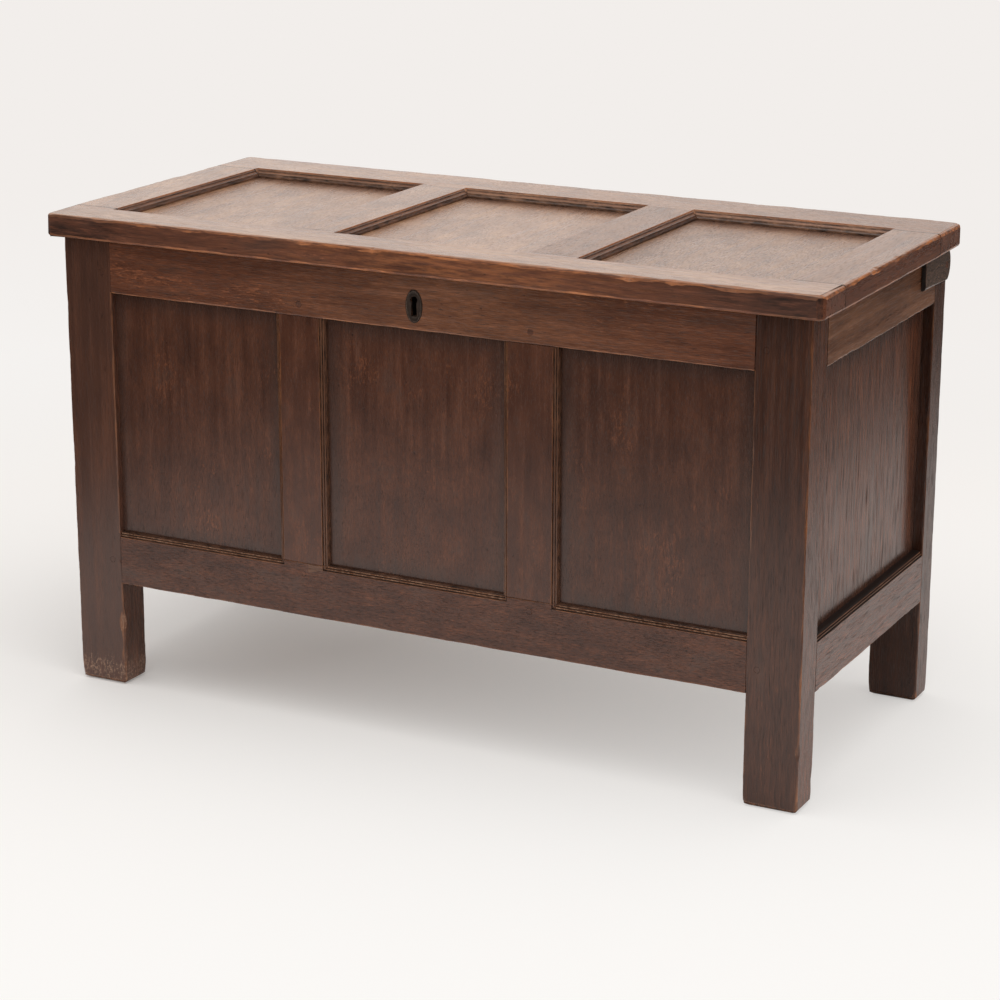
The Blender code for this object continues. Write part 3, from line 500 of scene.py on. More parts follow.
def grime_and_shade_share(tree, kept, drawn, pores, dents):
    """Where dirt has settled, in pores, dents and corners, and where shade is painted, in the keyhole and on cleats'
    ends.
    """
    dust = sums(tree, "MULTIPLY_ADD", drawn["ragged"], DUST_RAGGED, kept["grime"])
    dark = sums(tree, "MAXIMUM", sums(tree, "MULTIPLY", pores, PORE_DARK), dents)
    return sums(tree, "MAXIMUM", dark, ranged(tree, dust, DUST_SPAN))


def aged_oak(name, stain, rubbed_stain, arris, rough, arris_wear, wax):
    """Oak that was riven, planed, stained and waxed for generations.

    The eye gets short fibres with dark pores, soft clouds where the stain took unevenly, arrises worn back to
    orange wood, grey dirt in corners and round panels where dusters don't reach, painted shade and highlights, and a
    soft wax gloss.
    """
    finish, tree, shader = new_finish(name)
    kept = {key: kept_value(tree, key) for key in OAK_READS}
    drawn = oak_patterns(tree, kept)
    pores = sums(tree, "MULTIPLY", ranged(tree, drawn["pores"], PORE_SPAN), kept["open_grain"])
    fibres = sums(tree, "MULTIPLY", sums(tree, "SUBTRACT", drawn["fibres"], HALF), kept["open_grain"])
    dents = ranged(tree, drawn["dents"], DENT_SPAN)
    edges = edge_distances(tree, kept)
    tone = oak_tone(tree, drawn, fibres)
    shades = []
    for tones in (stain, rubbed_stain, BARE_TONES):
        stops = [(FIRST_TONE + TONE_STEP * index, linear(code)) for index, code in enumerate(tones)]
        shades.append(add(tree, "ShaderNodeValToRGB", {"stops": stops}, {"Fac": tone}))
    # Paler where worn and where sheen is painted, darker where a reflection is painted
    colour = blended(tree, kept["rubbed"], shades[0], shades[1])
    colour = blended(tree, kept["raw"], colour, shades[2])
    colour = blended(tree, bald_share(tree, kept, drawn, edges, arris_wear), colour, linear(arris))
    colour = add(tree, VECTORS, {"operation": "SCALE"}, {0: colour, "Scale": kept["stain_depth"]})
    colour = blended(tree, smoke_share(tree, kept, drawn, edges), colour, linear(SMOKE))
    pale = ranged(tree, sums(tree, "ADD", drawn["speckles"], kept["scuffed"]), PALE_SPAN)
    colour = blended(tree, pale, colour, linear(PALE_WOOD))
    colour = blended(tree, grime_and_shade_share(tree, kept, drawn, pores, dents), colour, linear(GRIME_AND_SHADE))
    tree.links.new(colour, shader.inputs["Base Color"])

    dull = ranged(tree, drawn["streaks"], (*DULL_LEVELS, rough - GLOSSIER, rough + DULLER))
    for value, amount in ((kept["raw"], RAW_DULL), (kept["grime"], GRIME_DULL), (pores, PORE_DULL)):
        dull = sums(tree, "MULTIPLY_ADD", value, amount, dull)
    tree.links.new(dull, shader.inputs["Roughness"])
    relief = sums(tree, "MULTIPLY_ADD", pores, PORE_RELIEF, fibres)
    relief = sums(tree, "MULTIPLY", sums(tree, "SUBTRACT", relief, dents), kept["relief"])
    bump = add(tree, "ShaderNodeBump", None, {"Strength": 0.5, "Distance": 0.3 * MM, "Height": relief})
    tree.links.new(bump, shader.inputs["Normal"])
    shader.inputs["IOR"].default_value = 1.5
    if wax:
        tree.links.new(sums(tree, "MULTIPLY", kept["rubbed"], wax), shader.inputs["Coat Weight"])
        shader.inputs["Coat Roughness"].default_value = 0.2
        shader.inputs["Coat IOR"].default_value = 1.45
        tree.links.new(bump, shader.inputs["Coat Normal"])
    return finish


def wrought_iron():
    """Hammered iron, blackened and handled: dark, slightly pitted, brown where it has rusted, paler on its rim, partly
    from rubbing and partly as a painted highlight.
    """
    finish, tree, shader = new_finish("wrought_iron")
    where = add(tree, "ShaderNodeTexCoord").node.outputs["Object"]
    pits = add(tree, "ShaderNodeTexNoise", None,
               {"Vector": where, "Scale": 1 / PIT_SIZE, "Detail": 5.0, "Roughness": 0.65})
    rust = add(tree, "ShaderNodeTexNoise", None, {"Vector": where, "Scale": 1 / RUST_SIZE, "Detail": 4.0})
    stops = [(place, linear(code)) for place, code in IRON_TONES]
    colour = add(tree, "ShaderNodeValToRGB", {"stops": stops}, {"Fac": rust})
    # The rim is paler: partly worn bright by hands, partly a painted highlight
    bright = sums(tree, "MULTIPLY", ranged(tree, pits, BRIGHT_SPAN), kept_value(tree, "rim"))
    colour = blended(tree, bright, colour, linear(RUBBED_IRON_HIGHLIGHT))
    tree.links.new(colour, shader.inputs["Base Color"])
    tree.links.new(ranged(tree, pits, IRON_DULL_SPAN), shader.inputs["Roughness"])
    bump = add(tree, "ShaderNodeBump", None, {"Strength": 0.4, "Distance": 0.4 * MM, "Height": pits})
    tree.links.new(bump, shader.inputs["Normal"])
    shader.inputs["Metallic"].default_value = 0.5
    return finish


def grain_of(node):
    """The axis that a board's fibres follow."""
    if node.startswith("lid_"):
        return X if node.endswith("_rail") else Y
    if node.startswith("floor_board") or node.endswith("_cleat"):
        return Y
    if node.endswith("_pin"):
        return X
    if node.endswith("_peg"):
        return X if "_end_" in node else Y
    if node.endswith("_rail"):
        return Y if "_end_" in node else X
    return Z


def shoulders(node):
    """The two places along its grain where a tenoned board meets its neighbours, if it has tenons."""
    if node.startswith("lid_") and not node.endswith(("_rail", "_panel")):
        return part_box("lid_front_rail")[1][Y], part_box("lid_back_rail")[0][Y]
    if node.endswith("muntin"):
        face = node.split("_")[0]
        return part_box(face + "_bottom_rail")[1][Z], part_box(face + "_top_rail")[0][Z]
    if node.endswith("_rail") and "_end_" in node:
        side = node.split("_")[0]
        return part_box(f"front_{side}_stile")[1][Y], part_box(f"rear_{side}_stile")[0][Y]
    if node.endswith("_rail") and not node.startswith("lid_"):
        row = "front" if node.startswith("front") else "rear"
        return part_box(row + "_left_stile")[1][X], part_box(row + "_right_stile")[0][X]
    return None


def footed(node):
    """Whether a board is a corner stile, whose lower end is a foot."""
    return node.endswith("stile") and not node.startswith("lid_")


def peg_board(peg):
    """The board whose face a peg's end lies in, and whose stain it shares."""
    if "_muntin_" in peg:
        return "front_top_rail" if "_top_" in peg else "front_bottom_rail"
    if "_end_" in peg:
        side, _, row = peg.split("_")[:3]
        return f"{row}_{side}_stile"
    return "_".join(peg.split("_")[:2]) + "_stile"


def visible_box(node):
    """A board's corners between its shoulders."""
    low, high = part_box(node)
    ends = shoulders(node)
    if ends:
        low[grain_of(node)], high[grain_of(node)] = ends
    return low, high


def moulded_sides(node):
    """The sides of a board that are moulded, each as its axis and the way into the board."""
    if node.endswith("muntin") and not node.startswith("back"):
        return [(X, 1), (X, -1)]
    if node == "front_bottom_rail" or node in END_BOTTOM_RAILS:
        return [(Z, -1)]
    lid_sides = {"lid_front_rail": (Y, -1), "lid_back_rail": (Y, 1), "lid_left_stile": (X, -1),
                 "lid_right_stile": (X, 1)}
    return [lid_sides[node]] if node in lid_sides else []


def face_box(node):
    """The corners of a board's flat faces, inside its mouldings; the ends of tenoned boards don't count."""
    low, high = visible_box(node)
    reach = LID_MOULDING_REACH if node.startswith("lid_") else FRAME_MOULDING_REACH
    for axis, inward in moulded_sides(node):
        if inward > 0:
            low[axis] += reach
        else:
            high[axis] -= reach
    if node.endswith("_panel"):
        for axis in (X, Y, Z):
            if high[axis] - low[axis] > PANEL_SIDE:
                low[axis] += PANEL_TONGUE
                high[axis] -= PANEL_TONGUE
    if shoulders(node) or node.endswith(("_peg", "_pin")):
        low[grain_of(node)] -= OUT_OF_REACH
        high[grain_of(node)] += OUT_OF_REACH
    return low, high


def worn_board(node, lot, finish, arris):
    """A copy of a packed board with its arrises rounded unevenly, as handling and dusting wear them."""
    source = frame["nodes"][node]
    shape = bmesh.new()
    shape.from_mesh(source.data)
    bmesh.ops.remove_doubles(shape, verts=shape.verts, dist=WELD)
    bmesh.ops.dissolve_limit(shape, angle_limit=FLAT_TURN, verts=shape.verts, edges=shape.edges)
    if arris:
        round_arrises(shape, node, arris)
        cut_across(shape, node)
        wear(shape, node, arris, lot)
    elif node.startswith("lid_"):
        cut_across(shape, node)
    mesh = bpy.data.meshes.new(node + "_worn")
    shape.normal_update()
    shape.to_mesh(mesh)
    shape.free()
    board = new_object(node + "_worn", mesh)
    measure(mesh, node, lot)
    mesh.materials.append(finish)
    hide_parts(node)
    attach(board, source["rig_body"])


def lies_at(edge, axis, level):
    """Whether a whole edge lies at a level of an axis."""
    return all(abs(vert.co[axis] - level) < FLUSH for vert in edge.verts)


def outer_edges(shape, low, high, axes=(X, Y, Z)):
    """The edges where two outer sides of a board's box meet."""
    return [edge for edge in shape.edges
            if sum(lies_at(edge, axis, side[axis]) for axis in axes for side in (low, high)) >= 2]


def rounded(shape, edges, size, facets):
    """Rounds some edges, and returns the new faces."""
    return bmesh.ops.bevel(shape, geom=edges, offset=size, segments=facets, profile=0.5,
                           affect="EDGES")["faces"]


def corner_noses(shape, low, high, free):
    """The upper and lower arrises that run round the lid's rounded corners."""
    noses = []
    for edge in shape.edges:
        spot = (edge.verts[0].co + edge.verts[1].co) / 2
        aside = min(spot[X] - low[X], high[X] - spot[X])
        at_corner = FLUSH < aside < LID_CORNER and FLUSH < abs(spot[Y] - free) < LID_CORNER
        if at_corner and (lies_at(edge, Z, low[Z]) or lies_at(edge, Z, high[Z])):
            if len(edge.link_faces) == 2 and edge.calc_face_angle() > SHARP_TURN:
                noses.append(edge)
    return noses


def round_arrises(shape, node, arris):
    """Rounds lid corners, a cleat's nose and the feet more than other arrises, and marks the rounded faces."""
    low, high = visible_box(node)
    marked = shape.faces.layers.int.new("arris")
    soft = shape.faces.layers.int.new("soft")
    grain = grain_of(node)
    seams = [(grain, low[grain]), (grain, high[grain])] if shoulders(node) else []
    noses = []
    if node in LID_RAILS:
        free, held = (low[Y], high[Y]) if node == "lid_front_rail" else (high[Y], low[Y])
        seams.append((Y, held))
        corners = [edge for edge in outer_edges(shape, low, high, (X, Y)) if lies_at(edge, Y, free)]
        for face in rounded(shape, corners, LID_CORNER, CORNER_FACETS):
            face[soft] = 1
        noses = corner_noses(shape, low, high, free)
    if node.endswith("_cleat"):
        free = high[X] if node.startswith("right") else low[X]
        nose = [edge for edge in outer_edges(shape, low, high, (X, Z))
                if lies_at(edge, X, free) and lies_at(edge, Z, low[Z])]
        rounded(shape, nose, CLEAT_NOSE, CORNER_FACETS)
    if footed(node):
        feet = [edge for edge in outer_edges(shape, low, high) if lies_at(edge, Z, 0.0)]
        for face in rounded(shape, feet, FOOT_ARRIS, ARRIS_FACETS):
            face[marked] = face[soft] = 1
    edges = [edge for edge in outer_edges(shape, low, high)
             if not any(lies_at(edge, axis, level) for axis, level in seams)]
    for face in rounded(shape, edges + noses, arris, ARRIS_FACETS):
        face[marked] = face[soft] = 1


def cut_across(shape, node):
    """Cuts a board across its grain, often where it shows, so that its arrises can change along it."""
    low, high = visible_box(node)
    grain = grain_of(node)
    fine = node.startswith(("front_", "lid_", "right_end", "rear_right"))
    count = int((high[grain] - low[grain]) / (FINE_STEP if fine else COARSE_STEP))
    across = Vector((0, 0, 0))
    across[grain] = 1
    rest = list(shape.faces)
    steps = [low[grain] + (high[grain] - low[grain]) * index / count for index in range(1, count)]
    if node in LID_SEAMS:
        steps = [low[grain] + LID_SEAMS[node], *steps, high[grain] - LID_SEAMS[node]]
    for step in steps:
        place = (low + high) / 2
        place[grain] = step
        parts = dict.fromkeys(rest)
        for face in rest:
            parts.update(dict.fromkeys((*face.edges, *face.verts)))
        done = bmesh.ops.bisect_plane(shape, geom=list(parts), plane_co=place, plane_no=across, dist=WELD)
        rest = [part for part in done["geom"] if isinstance(part, bmesh.types.BMFace)
                and part.calc_center_median()[grain] > place[grain]]


def clear_of_arris(spot, low, high, band):
    """How far a point of a flat outer side moves to clear a band that an arris has taken."""
    gaps = [(spot[axis] - low[axis], axis, 1) for axis in (X, Y, Z)]
    gaps += [(high[axis] - spot[axis], axis, -1) for axis in (X, Y, Z)]
    if not any(abs(gap) < ON_FACE for gap, _, _ in gaps):
        return None
    for gap, axis, inward in gaps:
        if ON_FACE < gap < band:
            move = Vector((0, 0, 0))
            move[axis] = (band - gap) * inward
            return move
    return None


def wear(shape, node, arris, lot):
    """Wears the rounded arrises in by uneven amounts, most at the lid's corners, the feet and chips.

    Their borders slide along the flat faces, further than their middles go in, so that they stay round.
    """
    shape.normal_update()
    low, high = visible_box(node)
    spots = list(CHIPS.get(node, ()))
    if node in LID_RAILS:
        free = low[Y] if node == "lid_front_rail" else high[Y]
        spots += [((side, free, level), CORNER_WEAR, CORNER_WEAR_REACH)
                  for side in (low[X], high[X]) for level in (low[Z], high[Z])]
    if footed(node):
        spots += [((side, face, 0.0), FOOT_WEAR, FOOT_WEAR_REACH)
                  for side in (low[X], high[X]) for face in (low[Y], high[Y])]
    soft = shape.faces.layers.int["soft"]
    pushes = []
    for vert in shape.verts:
        flats = [face.normal for face in vert.link_faces if not face[soft]]
        place = vert.co / WEAR_LENGTH + Vector([lot * shift for shift in WEAR_SHIFT])
        rub = EVEN_WEAR + LONG_WEAR * noise.noise(place) + SHORT_WEAR * noise.noise(place * SHORT_WAVES)
        rub = max(0.0, rub + DEEP_WEAR * max(0.0, rub - DEEP_WEAR_FROM)) * arris
        if node.startswith("lid_") and vert.co[Z] < (low[Z] + high[Z]) / 2:
            rub *= LOWER_WEAR
        rub += sum(most * math.exp(-((vert.co - Vector(middle)).length / reach) ** 2) for middle, most, reach in spots)
        if len(flats) == len(vert.link_faces):
            band = arris + BORDER_SLIDE * rub + BORDER_MARGIN
            overtaken = footed(node) and clear_of_arris(vert.co, low, high, band)
            if overtaken:
                pushes.append((vert, overtaken))
            continue
        push = -vert.normal
        for flat in flats:
            push -= flat * push.dot(flat)
        if flats and push.length > LEAST_SLIDE:
            push = push.normalized() * BORDER_SLIDE
        pushes.append((vert, push * rub))
    for vert, push in pushes:
        vert.co += push


def rows(items, name):
    """A vector of each vertex or face of a mesh, one to a row."""
    values = np.empty(len(items) * 3, np.float32)
    items.foreach_get(name, values)
    return values.reshape(-1, 3)


def store(mesh, name, domain, values):
    """Keeps a number or vector for each point or face of a mesh."""
    kind, part = ("FLOAT_VECTOR", "vector") if values.ndim == 2 else ("FLOAT", "value")
    kept = mesh.attributes.new(name, kind, domain)
    kept.data.foreach_set(part, values.astype(np.float32).reshape(-1))


def store_places(mesh, node, host, lot):
    """Stores where each point lies in its board and its wood, in millimetres along and across the grain."""
    low, high = face_box(host)
    box_low, box_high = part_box(host)
    grain = grain_of(host)
    others = sorted((axis for axis in (X, Y, Z) if axis != grain), key=lambda axis: box_low[axis] - box_high[axis])
    order = [grain, *others]
    points = rows(mesh.vertices, "co")
    placed = ((points - np.array((low + high) / 2)) / MM)[:, order].astype(np.float32)
    halves = np.tile((np.array(high - low) / 2 / MM)[order], (len(points), 1))
    long, wide = FIBRES.get(host, (1.0, 1.0))
    grown = placed / np.array([long, wide, wide]) + lot * np.array(GRAIN_SHIFT_MM)
    store(mesh, "board_mm", "POINT", placed)
    store(mesh, "half_mm", "POINT", halves)
    store(mesh, "wood_mm", "POINT", grown)
    store(mesh, "panel", "POINT", np.full(len(points), float(node.endswith("_panel"))))


def share_over(values, start, span):
    """How far values have come over a span, from 0 to 1."""
    return np.clip((values - start) / span, 0, 1)


def gripped(spots):
    """How much hands have worn each spot, by where the lid is lifted."""
    return np.exp(-((spots[:, X] - GRIP_MIDDLE) / GRIP_SPREAD) ** 2)


def moulded_reach(node, spots):
    """How far each spot lies from the panel over a board's mouldings, in millimetres; far off on plain boards."""
    low, high = visible_box(node)
    far = np.full(len(spots), np.inf)
    for axis, inward in moulded_sides(node):
        edge = (low if inward > 0 else high)[axis]
        far = np.minimum(far, np.maximum((spots[:, axis] - edge) * inward / MM, PAST_MOULDING_MM))
    return far


def moulding_looks(looks, node, spots):
    """Puts dirt in a moulding's quirks and rubs its ridges, and returns which faces are moulded."""
    on_lid = node.startswith("lid_")
    reach = moulded_reach(node, spots)
    cut = (reach < (LID_MOULDING_MM if on_lid else FRAME_MOULDING_MM)) & (looks.raw < HALF)
    if on_lid:
        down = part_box(node)[1][Z] - spots[:, Z]
        cut &= (down > LID_MOULDING_TOP) & (down < LID_MOULDING_FOOT)
    quirks, ridges = (LID_QUIRKS, LID_RIDGES) if on_lid else (FRAME_QUIRKS, FRAME_RIDGES)
    ridge_rub = LID_RIDGE_RUB if on_lid else FRAME_RIDGE_RUB
    for spans, values, amount in ((quirks, looks.grime, QUIRK_GRIME), (ridges, looks.ridge, ridge_rub)):
        for start, stop in spans:
            values[cut & (reach >= start) & (reach < stop)] = amount
    return cut


def lid_looks(looks, node, spots, normals):
    """The lid: waxed on top, with a painted dark reflection along its panels' backs and painted sheen along its back
    rail, worn and sooty on its front edge, dirty in seams, with painted highlights on its lower arrises, bare below.
    """
    x, y, _ = spots.T
    aside, ahead, up = normals.T
    raw = np.all(np.abs(spots - LID_MIDDLE) < LID_HALF, axis=1) & (up < UNDER_LID)
    looks.raw[raw | (up < -FLAT_UNDER)] = 1.0
    rubbed = np.clip((up - TOP_FROM) / TOP_SPAN, 0, LID_WAX.get(node, 1.0))
    # Painted reflection: a darker, less waxed band along each panel's back stands in for the back moulding's reflection
    if node.endswith("_panel"):
        from_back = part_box("lid_back_rail")[0][Y] - y
        rubbed *= 1.0 - BACK_SHADE * np.clip(1.0 - from_back / BACK_SHADE_REACH, 0, 1)
    # Painted sheen: the back rail is paler and waxier towards its left, darker and less waxed towards its right
    if node == "lid_back_rail":
        rubbed *= 1.0 - BACK_RAIL_FADE * np.clip(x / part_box(node)[1][X], -1, 1)
    cut = moulding_looks(looks, node, spots)
    looks.rubbed[:] = np.where(cut, BACK_MOULDING_RUB if node == "lid_back_rail" else MOULDING_RUB, rubbed)
    looks.smoky[cut] = SMOKY_MOULDING
    if node == "lid_front_rail":
        grip = gripped(spots)
        soot = (EDGE_SOOT + END_SOOT * share_over(np.abs(x), *END_SOOT_SPAN) - GRIP_CLEAN * grip
                + RIGHT_SOOT * share_over(x, *RIGHT_SOOT_SPAN))
        front = ahead < -ROUGHLY
        looks.ridge[front] = np.maximum(looks.ridge, GRIP_RUB * grip)[front]
        looks.grime[front] = np.maximum(looks.grime, soot)[front]
    if node in LID_RAILS:
        looks.joint[np.abs(aside) > FLAT_END] = 1.0
    if node in LID_SEAMS:
        start, stop = shoulders(node)
        seam = (y < start + LID_SEAMS[node]) | (y > stop - LID_SEAMS[node])
        looks.grime[seam & (looks.raw < HALF)] = SEAM_GRIME
    looks.stain_depth[np.abs(up) < ROUGHLY] *= LID_EDGE_DEPTH
    looks.stain_depth[np.abs(aside) > ROUGHLY] *= LID_END_DEPTH
    # Painted highlight: the lid's lower arrises are paler, as if they caught light from the floor
    looks.stain_depth[(up < DOWNWARD) & (up > -FLAT_END)] = LOWER_ARRIS_HIGHLIGHT


def carcass_looks(looks, node, host, spots, normals):
    """The carcass: bare in the room inside, open-grained and pale on its ends, with painted shade on the rear stiles'
    front faces and on the cleats' ends and a painted highlight on the cleats' noses, scuffed at its feet.
    """
    aside, ahead, up = normals.T
    raw = np.all(np.abs(spots - ROOM_MIDDLE) < ROOM_HALF + ROOM_MARGIN, axis=1)
    raw |= (up > SQUARELY) & (spots[:, Z] > ROOM_HIGH[Z] - ROOM_MARGIN)
    looks.raw[raw] = 1.0
    ends = np.abs(aside) > SQUARELY
    looks.open_grain[ends & ~raw] = END_GRAIN.get(host, USUAL_END_GRAIN)
    looks.stain_depth[ends] = END_DEPTH.get(host, USUAL_END_DEPTH)
    looks.relief[ends] = END_RELIEF
    cut = moulding_looks(looks, node, spots)
    looks.rubbed[cut] = MOULDING_RUB
    if node in END_TOP_RAILS:
        looks.rubbed += END_RUB
    if node in END_BOTTOM_RAILS:
        looks.grime[cut] = np.where(looks.grime[cut] > 0, FULL_GRIME_AND_SHADE, END_MOULDING_GRIME)
    if node.endswith("muntin_top_peg"):
        looks.grime += PEG_GRIME
    if node.endswith("_cleat"):
        # Painted shade: the cleat's end faces are darkened, as if in shadow
        looks.grime[np.abs(ahead) > ROUGHLY] = CLEAT_END_SHADE
        looks.grime += CLEAT_GRIME
        # Painted highlight: the rounded lower nose is cleared of dirt and made paler, as if it caught light from the
        # floor
        lower = (up < DOWNWARD) & (np.abs(ahead) < ROUGHLY)
        looks.grime[lower] = 0.0
        looks.scuffed[:] = CLEAT_SCUFF
        looks.stain_depth[lower] = CLEAT_NOSE_HIGHLIGHT
    if footed(node):
        fade = np.clip(FOOT_SCUFF_FADE - FOOT_SCUFF_FADE * spots[:, Z] / FOOT_SCUFF_HEIGHT, 0, 1)
        looks.scuffed[:] = FOOT_SCUFFS.get(node, USUAL_FOOT_SCUFF) * fade
    if node.startswith("rear_"):
        # Painted shade: the rear stiles' front faces, under the coffer, are darkened
        looks.stain_depth[ahead < -ROUGHLY] = SHADED_DEPTH


def front_looks(looks, node, spots, normals):
    """The front's stiles and rails: paler round the lock, from hand wear and painted sheen, with painted shade in the
    keyhole, and sharp joints.
    """
    x, _, z = spots.T
    if node == "front_top_rail":
        # Paler round the lock: partly hand wear, partly painted sheen
        looks.rubbed[:] = LOCK_WEAR_AND_SHEEN * gripped(spots)
        low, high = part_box("keyhole_escutcheon")
        hole = np.abs(normals[:, Y]) < ROUGHLY
        for axis in (X, Z):
            hole &= (spots[:, axis] > low[axis]) & (spots[:, axis] < high[axis])
        # Painted shade: the keyhole's walls are darkened nearly to black, as if no light reached them
        looks.grime[hole] = FULL_GRIME_AND_SHADE
        looks.stain_depth[hole] = KEYHOLE_SHADE_DEPTH
    if footed(node):
        low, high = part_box(node)
        inner = np.abs(x) < min(abs(low[X]), abs(high[X])) + JOINT_MARGIN
        for rail in FRONT_RAILS:
            start, stop = (corner[Z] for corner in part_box(rail))
            looks.joint[(z > start) & (z < stop) & inner] = 1.0
    if node in FRONT_RAILS:
        for muntin in FRONT_MUNTINS:
            start, stop = (corner[X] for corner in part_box(muntin))
            looks.joint[(x > start) & (x < stop)] = 1.0
            flat = (x > start + FRAME_MOULDING_REACH) & (x < stop - FRAME_MOULDING_REACH)
            looks.grime[flat] = looks.ridge[flat] = 0.0
    if node == "front_bottom_rail":
        looks.scuffed[(looks.ridge > 0) & (looks.joint < HALF)] = RIDGE_DUST


def measure(mesh, node, lot):
    """Stores on a board's mesh what its finish reads: places, and where it is raw, worn, dirty, painted with shade or
    painted with highlights.
    """
    host = peg_board(node) if node.endswith("_peg") else node
    store_places(mesh, node, host, lot)
    spots, normals = rows(mesh.polygons, "center"), rows(mesh.polygons, "normal")
    count = len(spots)
    looks = SimpleNamespace(relief=np.ones(count))
    for name in ("raw", "rubbed", "grime", "ridge", "joint", "scuffed"):
        setattr(looks, name, np.zeros(count))
    looks.smoky = np.full(count, SMOKY.get(host, 0.0))
    looks.open_grain = np.full(count, OPEN_GRAIN.get(host, 1.0))
    looks.stain_depth = np.full(count, STAIN_DEPTH.get(host, 1.0))
    if node.startswith("lid_"):
        lid_looks(looks, node, spots, normals)
    else:
        carcass_looks(looks, node, host, spots, normals)
    if node in FRONT_RAILS or node in ("front_left_stile", "front_right_stile"):
        front_looks(looks, node, spots, normals)
    for middle, most, reach in CHIPS.get(node, ()):
        away = np.linalg.norm((spots - np.array(middle)) / (CHIP_ACROSS, CHIP_ACROSS, reach), axis=1)
        looks.scuffed = np.maximum(looks.scuffed, most / CHIP_BRIGHT * np.exp(-away ** 2))
    for name, values in vars(looks).items():
        store(mesh, name, "FACE", values)


def ring_point(turn, share, half_wide, half_tall):
    """A point of a plate's ring, aside and up from the keyhole's head, at a turn from straight up."""
    aside, up = math.sin(turn), math.cos(turn)
    a = (aside / half_wide) ** 2 + (up / half_tall) ** 2
    b = up * KEYHOLE_UP / half_tall ** 2
    c = (KEYHOLE_UP / half_tall) ** 2 - 1
    oval = (math.sqrt(b * b - a * c) - b) / a
    hole = KEYHOLE_HEAD
    if up < 0:
        spread = abs(aside) + KEYHOLE_FLARE * up
        slot = min(KEYHOLE_FOOT / -up, KEYHOLE_WAIST / max(spread, LEAST_SPREAD))
        hole = max(KEYHOLE_HEAD, slot)
    out = oval + (hole - oval) * share
    return aside * out, up * out


def keyhole_plate(node):
    """An oval iron plate with a raised rim, a dished field and a keyhole with a round head and a flared slot."""
    low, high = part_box(node)
    middle = (low + high) / 2
    half_wide, half_tall = (high[X] - low[X]) / 2, (high[Z] - low[Z]) / 2
    rings = [(0.0, high[Y]), *((share, low[Y] + sunk * MM) for share, sunk in PLATE_RINGS), (1.0, high[Y])]
    shape = bmesh.new()
    loops = []
    for share, depth in rings:
        loop = []
        for index in range(PLATE_SIDES):
            aside, up = ring_point(2 * math.pi * index / PLATE_SIDES, share, half_wide, half_tall)
            loop.append(shape.verts.new((middle[X] + aside, depth, middle[Z] + KEYHOLE_UP + up)))
        loops.append(loop)
    for first, second in zip(loops, loops[1:] + loops[:1]):
        for index in range(PLATE_SIDES):
            after = (index + 1) % PLATE_SIDES
            shape.faces.new((first[index], second[index], second[after], first[after]))
    bmesh.ops.recalc_face_normals(shape, faces=shape.faces)
    mesh = bpy.data.meshes.new(node + "_worn")
    shape.to_mesh(mesh)
    shape.free()
    mesh.materials.append(IRON)
    rim = mesh.attributes.new("rim", "FLOAT", "FACE")
    for face in mesh.polygons:
        face.use_smooth = True
        rim.data[face.index].value = float(face.index // PLATE_SIDES in RIM_RINGS)
    plate = new_object(node + "_worn", mesh)
    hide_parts(node)
    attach(plate, frame["nodes"][node]["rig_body"])


def studio():
    """A pale room round the coffer, paper under it that melts into the room, and a large lamp above."""
    scene = bpy.context.scene
    scene.view_settings.view_transform = "Standard"
    world = bpy.data.worlds.new("studio_room")
    scene.world = world
    world.use_nodes = True
    tree = world.node_tree
    back = tree.nodes["Background"]
    back.inputs["Color"].default_value = linear(ROOM_COLOUR)
    towards = add(tree, "ShaderNodeTexCoord").node.outputs["Generated"]
    towards = add(tree, "ShaderNodeSeparateXYZ", None, {0: towards}).node.outputs
    sheet = sums(tree, "MULTIPLY_ADD", towards[X], SHEET_SLANT, towards[Y])
    sheet = ranged(tree, sheet, SHEET_SPAN, smooth=True)
    path = add(tree, "ShaderNodeLightPath").node.outputs
    level = add(tree, "ShaderNodeMix", None, {"Factor": path["Is Glossy Ray"], "A": ROOM_LIGHT, "B": sheet})
    seen = sums(tree, "MAXIMUM", path["Is Camera Ray"], path["Is Transmission Ray"])
    level = add(tree, "ShaderNodeMix", None, {"Factor": seen, "A": level, "B": 1.0})
    tree.links.new(level, back.inputs["Strength"])

    mesh = bpy.data.meshes.new("floor")
    corners = [(aside * FLOOR_REACH, ahead * FLOOR_REACH, 0) for aside, ahead in ((-1, -1), (1, -1), (1, 1), (-1, 1))]
    mesh.from_pydata(corners, [], [(0, 1, 2, 3)])
    floor = new_object("floor", mesh)
    mesh.materials.append(paper_floor())

    lamp = bpy.data.lights.new("overhead_softbox", "AREA")
    lamp.shape = "RECTANGLE"
    lamp.size = 3.0
    lamp.size_y = 2.6
    lamp.energy = 42.0
    holder = new_object("overhead_softbox", lamp)
    holder.location = LAMP_PLACE
    holder.rotation_euler = (LAMP_AIM - LAMP_PLACE).to_track_quat("-Z", "Y").to_euler()


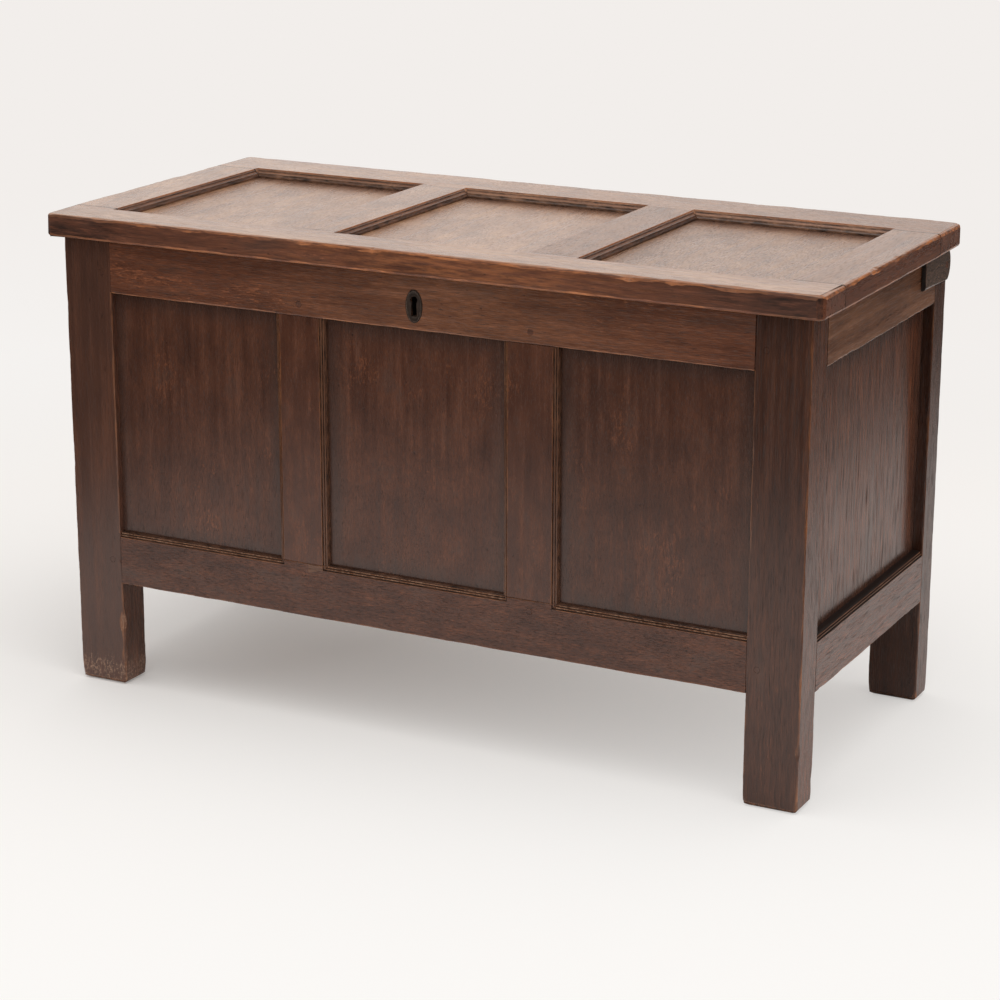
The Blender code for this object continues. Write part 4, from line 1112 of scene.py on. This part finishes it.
def paper_floor():
    """Matt pale paper that keeps the coffer's shadow and melts into the background; dim past its edges."""
    finish, tree, shader = new_finish("pale_paper")
    shader.inputs["Roughness"].default_value = 0.95
    shader.inputs["Specular IOR Level"].default_value = 0.0
    where = add(tree, "ShaderNodeTexCoord").node.outputs["Object"]
    spot = add(tree, "ShaderNodeSeparateXYZ", None, {0: where}).node.outputs
    path = add(tree, "ShaderNodeLightPath").node.outputs
    paper = ranged(tree, sums(tree, "ABSOLUTE", spot[X]), FLOOR_SIDE_SPAN, smooth=True)
    for span in (FLOOR_AHEAD_SPAN, FLOOR_BEHIND_SPAN):
        paper = sums(tree, "MULTIPLY", paper, ranged(tree, spot[Y], span, smooth=True))
    paper = sums(tree, "MAXIMUM", paper, path["Is Camera Ray"])
    shade = blended(tree, paper, linear(FLOOR_PAST_PAPER), linear(FLOOR_PAPER))
    tree.links.new(shade, shader.inputs["Base Color"])
    far = sums(tree, "LENGTH", where, kind=VECTORS).node.outputs["Value"]
    far = ranged(tree, far, FLOOR_FAR_SPAN, smooth=True)
    lift = sums(tree, "MULTIPLY_ADD", spot[X], FLOOR_LIFT_RIGHT, FLOOR_LIFT)
    lift = sums(tree, "MULTIPLY_ADD", spot[Y], FLOOR_LIFT_BACK, lift)
    lift = add(tree, "ShaderNodeClamp", None, {"Value": lift, "Min": 0.2, "Max": 0.55})
    far = sums(tree, "MULTIPLY", sums(tree, "MAXIMUM", far, lift), path["Is Camera Ray"])
    deep = ranged(tree, spot[Y], FLOOR_DEEP_SPAN, smooth=True)
    glow = add(tree, "ShaderNodeEmission", None,
               {"Color": blended(tree, deep, linear(FLOOR_NEAR), linear(ROOM_COLOUR))})
    mixed = add(tree, "ShaderNodeMixShader", None, {0: far, 1: shader.outputs["BSDF"], 2: glow})
    tree.links.new(mixed, tree.nodes["Material Output"].inputs["Surface"])
    return finish


def photo_camera():
    """The camera that took the photograph."""
    across = Vector((math.cos(CAMERA_AZIMUTH), math.sin(CAMERA_AZIMUTH), 0))
    level = math.cos(CAMERA_ELEVATION)
    ahead = Vector((-math.sin(CAMERA_AZIMUTH) * level, math.cos(CAMERA_AZIMUTH) * level, -math.sin(CAMERA_ELEVATION)))
    up = across.cross(ahead)
    right = across * math.cos(CAMERA_ROLL) + up * math.sin(CAMERA_ROLL)
    up = up * math.cos(CAMERA_ROLL) - across * math.sin(CAMERA_ROLL)
    lens = bpy.data.cameras.new("photo_camera")
    lens.lens = 99.96
    lens.sensor_width = 36.0
    camera = new_object("photo_camera", lens)
    turn = Matrix((right, up, -ahead)).transposed().to_4x4()
    camera.matrix_world = Matrix.Translation(CAMERA_PLACE) @ turn
    bpy.context.scene.camera = camera


# Carcass: deep red-brown stain with a soft gloss, and narrow orange arrises
OAK = aged_oak("stained_oak", STAIN_TONES, RUBBED_TONES, arris="#9c633e", rough=0.22, arris_wear=2.0, wax=0.0)
# Lid: the same stain rubbed pale on top, under a thin shine of wax, with broad orange arrises
LID_OAK = aged_oak("worn_lid_oak", STAIN_TONES, RUBBED_TONES, arris="#a0643c", rough=0.28, arris_wear=4.0, wax=0.6)
# Floor boards: dry brown oak that was never stained, without gloss
BARE_OAK = aged_oak("bare_oak", BARE_TONES, BARE_TONES, arris="#ad8a66", rough=0.65, arris_wear=2.0, wax=0.0)
# Keyhole plate and lock: dark pitted iron, brown with old rust
IRON = wrought_iron()

LOTS = {node: index * LOT_STEP % 1.0 for index, node in enumerate(sorted(frame["nodes"]))}
for node in sorted(frame["nodes"]):
    piece = frame["nodes"][node]
    lot = LOTS[peg_board(node) if node.endswith("_peg") else node]
    if node == "keyhole_escutcheon":
        keyhole_plate(node)
    elif node.startswith("lock_"):
        piece.data.materials.clear()
        piece.data.materials.append(IRON)
    elif node.startswith("floor_board"):
        worn_board(node, lot, BARE_OAK, FLOOR_ARRIS)
    elif node.startswith("lid_"):
        worn_board(node, lot, LID_OAK, 0.0 if node.endswith("_panel") else LID_ARRIS)
    else:
        worn_board(node, lot, OAK, 0.0 if node.endswith(("_panel", "_peg", "_pin")) else FRAME_ARRIS)

studio()
photo_camera()
